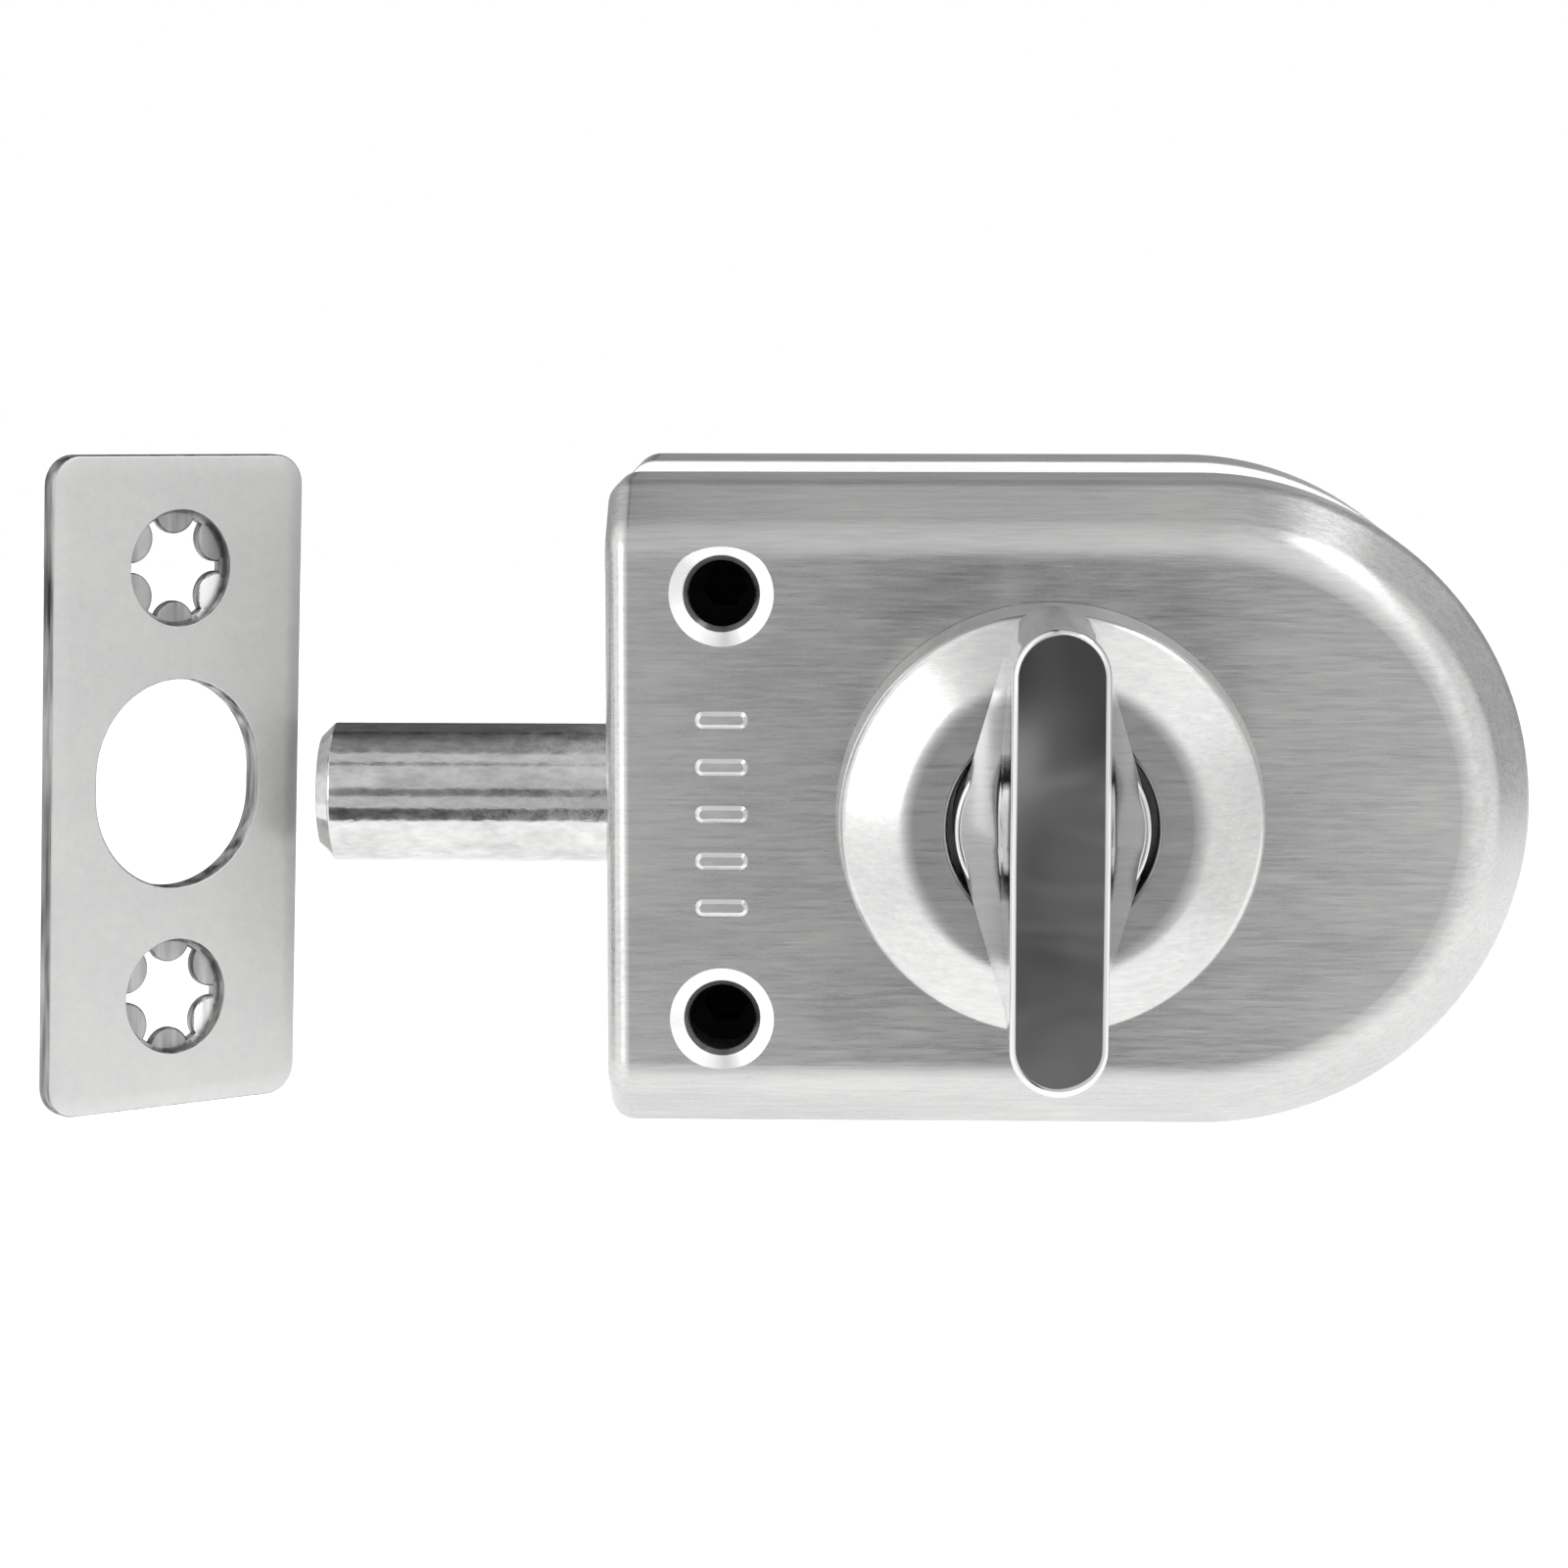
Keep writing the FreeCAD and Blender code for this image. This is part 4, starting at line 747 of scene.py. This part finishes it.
def make_lathe_tree():
    tree, given, result = new_tree("lathe", {"Steps round": "Int", "Closed": "Int"})
    to_curve = add_node(tree, "GeometryNodeMeshToCurve")
    rounding = add_node(tree, "GeometryNodeFilletCurve")
    rounding.mode = "POLY"
    rounding.inputs["Count"].default_value = LATHE_CORNER_STEPS
    corner = add_node(tree, "GeometryNodeInputNamedAttribute", data_type="FLOAT")
    corner.inputs["Name"].default_value = "corner_round"
    join(tree, given.outputs["Geometry"], to_curve.inputs["Mesh"])
    join(tree, to_curve.outputs["Curve"], rounding.inputs["Curve"])
    join(tree, corner.outputs["Attribute"], rounding.inputs["Radius"])
    line = rounding.outputs["Curve"]
    size = add_node(tree, "GeometryNodeAttributeDomainSize", component="CURVE")
    join(tree, line, size.inputs["Geometry"])
    count = size.outputs["Point Count"]
    rows = math_node(tree, "ADD", count, given.outputs["Closed"])
    columns = math_node(tree, "ADD", given.outputs["Steps round"], 1)
    grid = add_node(tree, "GeometryNodeMeshGrid")
    join(tree, columns, grid.inputs["Vertices X"])
    join(tree, rows, grid.inputs["Vertices Y"])
    index = add_node(tree, "GeometryNodeInputIndex").outputs["Index"]
    column = math_node(tree, "FLOOR", math_node(tree, "DIVIDE", math_node(tree, "ADD", index, 0.5), rows))
    row = math_node(tree, "SUBTRACT", index, product(tree, column, rows))
    row = math_node(tree, "MODULO", row, count)
    picked = add_node(tree, "GeometryNodeSampleIndex", data_type="FLOAT_VECTOR", domain="POINT")
    place = add_node(tree, "GeometryNodeInputPosition")
    join(tree, line, picked.inputs["Geometry"])
    join(tree, place.outputs["Position"], picked.inputs["Value"])
    join(tree, math_node(tree, "ROUND", row), picked.inputs["Index"])
    parts = add_node(tree, "ShaderNodeSeparateXYZ")
    join(tree, picked.outputs["Value"], parts.inputs[0])
    share = math_node(tree, "DIVIDE", column, given.outputs["Steps round"])
    angle = product(tree, share, 2 * math.pi)
    round_place = add_node(tree, "ShaderNodeCombineXYZ")
    join(tree, parts.outputs["Y"], round_place.inputs["Y"])
    for axis, wave in (("X", "COSINE"), ("Z", "SINE")):
        reach = product(tree, parts.outputs["X"], math_node(tree, wave, angle))
        join(tree, reach, round_place.inputs[axis])
    moved = add_node(tree, "GeometryNodeSetPosition")
    join(tree, grid.outputs["Mesh"], moved.inputs["Geometry"])
    join(tree, round_place.outputs[0], moved.inputs["Position"])
    merged = add_node(tree, "GeometryNodeMergeByDistance")
    merged.inputs["Distance"].default_value = 1e-6
    join(tree, moved.outputs["Geometry"], merged.inputs["Geometry"])
    close_tree(tree, merged.outputs["Geometry"], given, result)
    return tree


lathe_tree = make_lathe_tree()
print("lathe tree:", len(lathe_tree.nodes), "nodes")

# %% Turning a line on the lathe


def turned(corners, material, steps=96, closed=False):
    """corners: (radius, distance along Y, corner rounding) in mm. Returns a mesh about the Y axis."""
    line = bpy.data.meshes.new("lathe_line")
    edges = [(number, number + 1) for number in range(len(corners) - 1)]
    if closed:
        edges.append((len(corners) - 1, 0))
    line.from_pydata([(radius * MM, y * MM, 0) for radius, y, corner in corners], edges, [])
    rounding = line.attributes.new("corner_round", "FLOAT", "POINT")
    for number, corner in enumerate(corners):
        rounding.data[number].value = corner[2] * MM
    mesh = run_tree(lathe_tree, line, {"Steps round": steps, "Closed": int(closed), "Material": material})
    clean(mesh, drop_slivers=True)
    return mesh


def plain_bar(radius, near, far, material, steps=96):
    """A round bar about the Y axis with sharp edges, in mm."""
    return turned([(0, near, 0), (radius, near, 0), (radius, far, 0), (0, far, 0)], material, steps)


# %% [markdown]
# ## Holes in the cover
# Each key hole sits in a dimple that the press leaves: a shallow dish with a soft lip. The tool that cuts
# it is turned on our lathe, drawn with the dish's own curve, and a Boolean modifier takes it away from the
# sheet. The bolt's hole and the hole under the rosette are cut by the same kind of tool.

# %% Cutting with turned tools


def cut_away(mesh, tools):
    """Takes tool meshes away from a mesh with Boolean modifiers and returns the plain result."""
    block = placed("block", mesh)
    helpers = []
    for number, tool in enumerate(tools):
        helper = placed("tool", tool)
        helpers.append(helper)
        modifier = block.modifiers.new(f"cut_{number}", "BOOLEAN")
        modifier.operation = "DIFFERENCE"
        modifier.solver = "EXACT"
        modifier.object = helper
    made = with_modifiers(block)
    for item in [block] + helpers:
        bpy.data.objects.remove(item)
    return made


def moved_mesh(mesh, matrix):
    mesh.transform(matrix)
    return mesh


def shift(x, y, z):
    """A straight move, in mm."""
    return Matrix.Translation(Vector((x, y, z)) * MM)


KEY_X = LEFT + 8.9
KEY_RISE = 16.3
KEY_LIFT = 0.45
LIP_RADIUS = 2.95
DISH = [
    (0, FACE - 1.0, 0),
    (4.4, FACE - 1.0, 0),
    (4.02, FACE - 0.02, 0.3),
    (LIP_RADIUS, FACE + 0.58, 0.3),
    (2.52, FACE + 1.0, 0.12),
    (2.52, FACE + WALL + 1.0, 0),
    (0, FACE + WALL + 1.0, 0),
]
BOLT_Y = -20.1
BOLT_LIFT = 0.6
BOLT_HOLE = [(0, -2, 0), (7, -2, 0), (5.95, -0.02, 0.2), (5.65, 0.35, 0.2), (5.65, 3, 0), (0, 3, 0)]
ROSETTE_HOLE = 6
tools = []
for side in (1, -1):
    tools.append(moved_mesh(turned(DISH, case_steel), shift(KEY_X, 0, KEY_LIFT + KEY_RISE * side)))
quarter_turn = Matrix.Rotation(math.radians(-90), 4, "Z")
to_bolt = shift(LEFT, BOLT_Y, BOLT_LIFT) @ quarter_turn
tools.append(moved_mesh(turned(BOLT_HOLE, case_steel), to_bolt))
tools.append(plain_bar(ROSETTE_HOLE, FACE - 1, FACE + 3, case_steel))
cover_mesh = cut_away(cover_mesh, tools)
print("after cutting:", len(cover_mesh.polygons), "faces, open edges:", open_edges(cover_mesh))

# %% [markdown]
# Each dish round a key hole gets a painted highlight, and the punched lip inside it a painted shade. The
# sheet carries that as an attribute: 1 in a dish, -1 on a lip and 0 elsewhere. A face belongs to a dish if
# it is near enough to a key hole's axis, not part of the flat face, and in front of the sheet's inner side.

# %% Painted highlight in the dishes, painted shade on the lips
DISH_REACH = 4.2
DISH_DEPTH = 1.1
FLAT_FACE = -0.999
LIP_MARGIN = 0.03
painted_dish_light = cover_mesh.attributes.new("painted_dish_light", "FLOAT", "FACE")
dish_faces = 0
for number, face in enumerate(cover_mesh.polygons):
    height = abs(face.center.z / MM - KEY_LIFT)
    from_axis = math.hypot(face.center.x / MM - KEY_X, height - KEY_RISE)
    shallow = face.center.y < (FACE + DISH_DEPTH) * MM
    if from_axis < DISH_REACH and face.normal.y > FLAT_FACE and shallow:
        painted_dish_light.data[number].value = 1.0 if from_axis > LIP_RADIUS - LIP_MARGIN else -1.0
        dish_faces += 1
print("faces in the dishes:", dish_faces)

# %% [markdown]
# The cover's three screw posts stand inside it, out of sight. They are turned as well, as closed tubes
# that end a little behind the sheet.

# %% Posts and the finished cover
POST_PLACES = [(24, 15), (24, -15), (-12, -19)]
POST_BORE = 1.55
POST_RADIUS = 2.5
POST_BACK = RIM - 1.5
POST_FRONT = -22.7


def joined(meshes):
    work = bmesh.new()
    for mesh in meshes:
        work.from_mesh(mesh)
    return as_mesh("joined", work)


def cover_post(x, z):
    back = [(POST_BORE, POST_BACK, 0.2), (POST_RADIUS, POST_BACK, 0.2)]
    corners = back + [(POST_RADIUS, POST_FRONT, 0), (POST_BORE, POST_FRONT, 0)]
    return moved_mesh(turned(corners, case_steel, steps=32, closed=True), shift(x, 0, z))


cover_posts = [cover_post(x, z) for x, z in POST_PLACES]
front_cover = finished(
    "front_cover_pressed", joined([cover_mesh] + cover_posts), case_steel, "case", ["front_cover"]
)

# %% [markdown]
# ## Plain raised bars
# Between the key holes the face carries a column of small raised bars, all alike. Repeating one shape
# along a line is a task for Geometry Nodes: a line of points, and the bar as an instance on each.

# %% The bar tree


def instances_on(tree, points, shape):
    put = add_node(tree, "GeometryNodeInstanceOnPoints")
    join(tree, points, put.inputs["Points"])
    join(tree, shape, put.inputs["Instance"])
    return put.outputs["Instances"]


def make_bar_tree():
    tree, given, result = new_tree("raised_bars", {"Count": "Int", "Pitch": "Vector", "First": "Vector"})
    row = add_node(tree, "GeometryNodeMeshLine", mode="OFFSET")
    join(tree, given.outputs["Count"], row.inputs["Count"])
    join(tree, given.outputs["First"], row.inputs["Start Location"])
    join(tree, given.outputs["Pitch"], row.inputs["Offset"])
    put = instances_on(tree, row.outputs["Mesh"], given.outputs["Geometry"])
    close_tree(tree, put, given, result)
    return tree


bar_tree = make_bar_tree()
print("bar tree:", len(bar_tree.nodes), "nodes")

# %% [markdown]
# ## Outlines swept by a section
# Flat pieces have the same build as the cover: an outline and a section. Here the outline is closed, so
# one helper serves the bars, the strike plate and the tools that cut its holes. An outline is a list of
# points with the direction that faces outwards at each. A loft joins rings that have equally many points.

# %% Outlines


def round_box_outline(half_width, half_height, corner, steps=8):
    """A rectangle with round corners as (x, z, outward x, outward z)."""
    outline = []
    centres = [(1, -1, 270), (1, 1, 0), (-1, 1, 90), (-1, -1, 180)]
    for side_x, side_z, first in centres:
        for step in range(steps + 1):
            angle = math.radians(first + 90 * step / steps)
            out_x = math.cos(angle)
            out_z = math.sin(angle)
            x = side_x * (half_width - corner) + corner * out_x
            z = side_z * (half_height - corner) + corner * out_z
            outline.append((x, z, out_x, out_z))
    return outline


def lofted(name, rings):
    """A closed body from rings of points in metres: quads between them, and a cap at either end."""
    work = bmesh.new()
    rings = [[work.verts.new(point) for point in ring] for ring in rings]
    for ring, following in zip(rings, rings[1:]):
        for number in range(len(ring)):
            after = (number + 1) % len(ring)
            work.faces.new((ring[number], ring[after], following[after], following[number]))
    work.faces.new(rings[0])
    work.faces.new(rings[-1][::-1])
    bmesh.ops.recalc_face_normals(work, faces=work.faces)
    return as_mesh(name, work)


def swept(outline, section):
    """A closed body: section is a list of (distance in from the outline, y), from front to back."""
    rings = []
    for into, y in section:
        ring = []
        for x, z, out_x, out_z in outline:
            ring.append(((x - out_x * into) * MM, y * MM, (z - out_z * into) * MM))
        rings.append(ring)
    return lofted("swept", rings)


BAR_RELIEF = 0.25
BAR_HALF_WIDTH = 2.0
BAR_HALF_HEIGHT = 0.65
BAR_CORNER = 0.6
BAR_COUNT = 5
BAR_PITCH = 3.6
bar_section = rounded_line([(1.0, -BAR_RELIEF, 0), (0.3, -BAR_RELIEF, 0.1), (0, 0, 0), (0, 0.5, 0)], 4)[1:]
bar_shape = swept(round_box_outline(BAR_HALF_WIDTH, BAR_HALF_HEIGHT, BAR_CORNER), bar_section)
bars = run_tree(
    bar_tree,
    bar_shape,
    {
        "Count": BAR_COUNT,
        "Pitch": Vector((0, 0, BAR_PITCH)) * MM,
        "First": Vector((KEY_X, FACE, -BAR_PITCH * (BAR_COUNT - 1) / 2)) * MM,
        "Material": bar_steel_painted_bright,
    },
)
raised_bars = finished("raised_bars", bars, bar_steel_painted_bright, "case")

# %% [markdown]
# ## The rosette
# The rosette is a turned collar: a short upright wall, a sloping ring, a flat middle and a hole for the
# thumbturn's skirt. It comes straight off the lathe tree, as one closed line.

# %% Rosette
ROSETTE_TOP = FACE - 7.0
ROSETTE_WALL_TOP = FACE - 5.0
ROSETTE = [
    (6.0, FACE - 1.5, 0),
    (12.5, FACE - 1.5, 0.3),
    (12.5, ROSETTE_WALL_TOP + 1.6, 0.3),
    (7.85, ROSETTE_TOP + 1.6, 0.1),
    (7.85, ROSETTE_TOP, 0.45),
    (11.05, ROSETTE_TOP, 3.5),
    (15.9, ROSETTE_WALL_TOP, 0.95),
    (16.25, FACE - 0.15, 0),
    (15.7, FACE - 0.12, 0),
    (15.7, FACE, 0),
    (6.0, FACE, 0),
]
rosette_mesh = turned(ROSETTE, rosette_steel, steps=144, closed=True)
rosette = finished("rosette_turned", rosette_mesh, rosette_steel, "case", ["rosette"])

# %% [markdown]
# ## The thumbturn
# The grip has a flat top with half-round ends, and flares out to a round skirt at its foot. It is a
# loft of one outline, drawn at many heights: a round at each end, a wider one in the middle, and
# straight flanks that touch all three. Only the middle round grows towards the foot.

# %% Grip outlines
GRIP_LENGTH = 33.4
GRIP_WIDTH = 7.0
GRIP_TOP = -51.0
GRIP_FOOT = -34.15
GRIP_MIDDLE_STEPS = 16
GRIP_FLANK_STEPS = 16
GRIP_END_STEPS = 24
GRIP_LEVELS = 24
TOP_ROUND = 0.45
TOP_ROUND_HEIGHT = 0.5
TOP_ROUND_STEPS = 6
TOP_RADIUS = 3.55
# The middle round's growth: (share of the height, radius, slope), from the foot to the top.
FLARE = [(0.0, 7.2, -10.5), (0.25, 5.2, -6.0), (0.5, 4.1, -2.4), (1.0, TOP_RADIUS, 0.0)]


def flare(share):
    """The middle round's radius in mm, for a share of the height, 0 at the foot and 1 at the top."""
    for (low, radius, slope), (high, next_radius, next_slope) in zip(FLARE, FLARE[1:]):
        if share <= high:
            break
    span = high - low
    t = (share - low) / span
    return (
        radius * (1 + 2 * t) * (1 - t) ** 2
        + slope * span * t * (1 - t) ** 2
        + next_radius * t * t * (3 - 2 * t)
        + next_slope * span * t * t * (t - 1)
    )


def flank(y, start, end, side):
    """Points along a straight flank from start, with its end left out."""
    points = []
    for step in range(GRIP_FLANK_STEPS):
        share = step / GRIP_FLANK_STEPS
        x, z = (first + (last - first) * share for first, last in zip(start, end))
        points.append((side * x, y, z))
    return points


def grip_outline(y, middle_radius, inset, worn=0.0):
    """A round at each end and a wider one in the middle, joined by straight flanks that touch them.

    Worn draws the lower end further in, which makes the polished edge there broader.
    """
    half = GRIP_WIDTH / 2
    end = GRIP_LENGTH / 2 - half
    lean = math.asin((middle_radius - half) / end)
    middle = middle_radius - inset
    tip = half - inset
    flank_foot = (middle * math.cos(lean), middle * math.sin(lean))
    flank_end = (tip * math.cos(lean), end + tip * math.sin(lean))
    points = []
    for step in range(GRIP_MIDDLE_STEPS):
        angle = lean * (2 * step / GRIP_MIDDLE_STEPS - 1)
        points.append((middle * math.cos(angle), y, middle * math.sin(angle)))
    points += flank(y, flank_foot, flank_end, 1)
    for step in range(GRIP_END_STEPS):
        angle = lean + (math.pi - 2 * lean) * step / GRIP_END_STEPS
        points.append((tip * math.cos(angle), y, end + tip * math.sin(angle)))
    points += flank(y, flank_end, flank_foot, -1)
    lower = [(-x, y, -z + worn * max(0.0, z / (end + half)) ** 6) for x, y, z in points]
    return points + lower


# %% Grip and skirt
SKIRT = [(0, -32.0, 0), (7.3, -32.0, 0.2), (7.3, -34.65, 0.3), (0, -34.65, 0)]
KNOB_BORE = 4.02
KNOB_BORE_END = -37.55
levels = []
edge_height = GRIP_TOP + TOP_ROUND_HEIGHT
for step in range(GRIP_LEVELS + 1):
    share = step / GRIP_LEVELS
    levels.append((GRIP_FOOT + (edge_height - GRIP_FOOT) * share, flare(share), 0.0, 0.0))
for step in range(1, TOP_ROUND_STEPS + 1):
    angle = math.pi / 2 * step / TOP_ROUND_STEPS
    inset = TOP_ROUND * (1 - math.cos(angle))
    levels.append((edge_height - TOP_ROUND_HEIGHT * math.sin(angle), TOP_RADIUS, inset, inset))
grip_mesh = lofted("grip", [[Vector(point) * MM for point in grip_outline(*level)] for level in levels])
skirt_mesh = turned(SKIRT, knob_steel, steps=120)
bore_tool = plain_bar(KNOB_BORE, -31, KNOB_BORE_END, knob_steel, steps=48)
knob_mesh = joined([cut_away(grip_mesh, [bore_tool]), cut_away(skirt_mesh, [bore_tool])])
thumbturn = finished("thumbturn_polished", knob_mesh, knob_steel, "thumbturn", ["knob"], 28)

# %% [markdown]
# ## The strike plate
# A flat plate, cut by a round-ended slot for the bolt and two round holes for screws. Six small tabs
# reach into each screw hole and hold the screw's head. The plate is made lying square at the origin and
# then turned into its place, because drawing is easier without angles.

# %% Plate and its holes
STRIKE_THICK = 1.5
STRIKE_HALF_WIDTH = 11.15
STRIKE_HALF_HEIGHT = 25
STRIKE_CORNER = 2.3
STRIKE_TURN = 42.8
STRIKE_LEAN = 2.2
STRIKE_SCREW_RISE = 16.45
SCREW_HOLE = 4.4
strike_place = (
    shift(-66.4, -26.3, 2.1)
    @ Matrix.Rotation(math.radians(STRIKE_TURN), 4, "Z")
    @ Matrix.Rotation(math.radians(STRIKE_LEAN), 4, "Y")
)
plate_section = rounded_line(
    [(2.5, 0, 0), (1.1, 0, 6.0), (0, 0.17, 0.25), (0, STRIKE_THICK, 0.12), (2.0, STRIKE_THICK, 0)], 5
)
plate_outline = round_box_outline(STRIKE_HALF_WIDTH, STRIKE_HALF_HEIGHT, STRIKE_CORNER)
plate_mesh = swept(plate_outline, plate_section[1:-1])


def hole_tool(outline, lip):
    """A tool that cuts a hole with a softly rounded front edge."""
    reach = -lip - 0.3
    flared = rounded_line([(reach, -0.01, 0), (0, -0.01, lip), (0, STRIKE_THICK + 1, 0)], 5)
    return swept(outline, [(reach, -1.0)] + flared)


def hole_outline(half_width, half_height, lift=0.0):
    outline = round_box_outline(half_width, half_height, half_width - 0.001, steps=24)
    return [(x, z + lift, out_x, out_z) for x, z, out_x, out_z in outline]


hole_tools = [
    hole_tool(hole_outline(7.2, 7.95), 0.25),
    hole_tool(hole_outline(SCREW_HOLE, SCREW_HOLE, STRIKE_SCREW_RISE), 0.15),
    hole_tool(hole_outline(SCREW_HOLE, SCREW_HOLE, -STRIKE_SCREW_RISE), 0.15),
]
plate_mesh = cut_away(plate_mesh, hole_tools)
print("plate:", len(plate_mesh.polygons), "faces, open edges:", open_edges(plate_mesh))

# %% [markdown]
# The tabs follow a rule, six round each hole, so they are instances on the points of a circle. Each tab
# is a small disc with a softened edge, whose outer half is sunk in the plate. A ring ties them together.
# Faces that look sideways are cut edges; the tab at the lower right of each hole gets a painted highlight.

# %% The tab tree


def make_tab_tree():
    sizes = {"Count": "Int", "Radius": "Float", "First angle": "Float"}
    tree, given, result = new_tree("tabs_round_a_hole", sizes)
    circle = add_node(tree, "GeometryNodeMeshCircle")
    join(tree, given.outputs["Count"], circle.inputs["Vertices"])
    join(tree, given.outputs["Radius"], circle.inputs["Radius"])
    upright = add_node(tree, "GeometryNodeTransform")
    upright.inputs["Rotation"].default_value = (math.pi / 2, 0, 0)
    join(tree, circle.outputs["Mesh"], upright.inputs["Geometry"])
    turn = add_node(tree, "GeometryNodeTransform")
    spin = add_node(tree, "ShaderNodeCombineXYZ")
    join(tree, given.outputs["First angle"], spin.inputs["Y"])
    join(tree, spin.outputs[0], turn.inputs["Rotation"])
    join(tree, upright.outputs["Geometry"], turn.inputs["Geometry"])
    put = instances_on(tree, turn.outputs["Geometry"], given.outputs["Geometry"])
    close_tree(tree, put, given, result)
    return tree


tab_tree = make_tab_tree()
TAB_FRONT = 0.8
TAB_BACK = STRIKE_THICK - 0.02
TAB = [(0, TAB_FRONT, 0), (1.85, TAB_FRONT, 0.25), (1.85, TAB_BACK, 0.1), (0, TAB_BACK, 0)]
RING = [(4.0, TAB_FRONT, 0.15), (4.6, TAB_FRONT, 0), (4.6, TAB_BACK, 0), (4.0, TAB_BACK, 0)]
HIGHLIGHT_TAB_SIDE = 2.2
HIGHLIGHT_TAB_DROP = 0.9
EDGE_TURN = 0.8
EDGE_DULL = 1.0
TAB_DULL = 0.6
# Under 0 the tone brightens: a painted highlight on the lower right tab of each hole.
TAB_PAINTED_HIGHLIGHT = -0.9
strike_parts = [plate_mesh]
for side in (1, -1):
    tabs = run_tree(
        tab_tree,
        turned(TAB, strike_finish, steps=32),
        {"Count": 6, "Radius": SCREW_HOLE * MM, "First angle": math.radians(30), "Material": strike_finish},
    )
    ring = turned(RING, strike_finish, steps=64, closed=True)
    lift = Matrix.Translation((0, 0, STRIKE_SCREW_RISE * MM * side))
    strike_parts += [moved_mesh(tabs, lift), moved_mesh(ring, lift)]
strike_mesh = joined(strike_parts)
dull_and_highlight = strike_mesh.attributes.new("dull_and_highlight", "FLOAT", "FACE")
for number, face in enumerate(strike_mesh.polygons):
    rise = math.copysign(STRIKE_SCREW_RISE * MM, face.center.z)
    low = rise - face.center.z > HIGHLIGHT_TAB_DROP * MM
    on_tab = face.normal.y < 0 and face.center.y > (TAB_FRONT - 0.1) * MM
    if abs(face.normal.y) < EDGE_TURN:
        dull_and_highlight.data[number].value = EDGE_DULL
    elif on_tab and low and face.center.x > HIGHLIGHT_TAB_SIDE * MM:
        dull_and_highlight.data[number].value = TAB_PAINTED_HIGHLIGHT
    elif on_tab:
        dull_and_highlight.data[number].value = TAB_DULL
strike_mesh = moved_mesh(strike_mesh, strike_place)
strike = finished("strike_plate_satin", strike_mesh, strike_finish, "case", ["strike_plate"])

# %% [markdown]
# ## Finishes for the pieces that stay as they are
# The CAD model already gives the bolt, the rear cover and everything inside the right shape. They only
# need their finish: each node's material slot gets one of the materials above.

# %% Finishes by node
steel_nodes = ["frame", "spindle", "wave_washer", "crank", "drive_pin", "carriage", "guide_post"]
zinc_nodes = ["spindle_bush", "bush_nut", "spindle_clip", "carriage_rivets", "guide_screws", "weld_nuts"]
finish_groups = [
    (bolt_steel, ["bolt_rod"]),
    (case_steel, ["rear_cover"]),
    (pale_rubber, ["rear_gasket"]),
    (black_oxide, ["set_screws"]),
    (turned_brass, ["bolt_guide"]),
    (mill_steel, steel_nodes + ["pressure_plate"]),
    (dark_zinc, zinc_nodes + ["cover_screws", "rear_cover_screws"]),
    (black_rubber, ["pressure_pad", "case_gasket", "edge_gasket"]),
]
for material, names in finish_groups:
    for name in names:
        nodes[name].material_slots[0].material = material
print("finished nodes:", sum(len(names) for material, names in finish_groups))
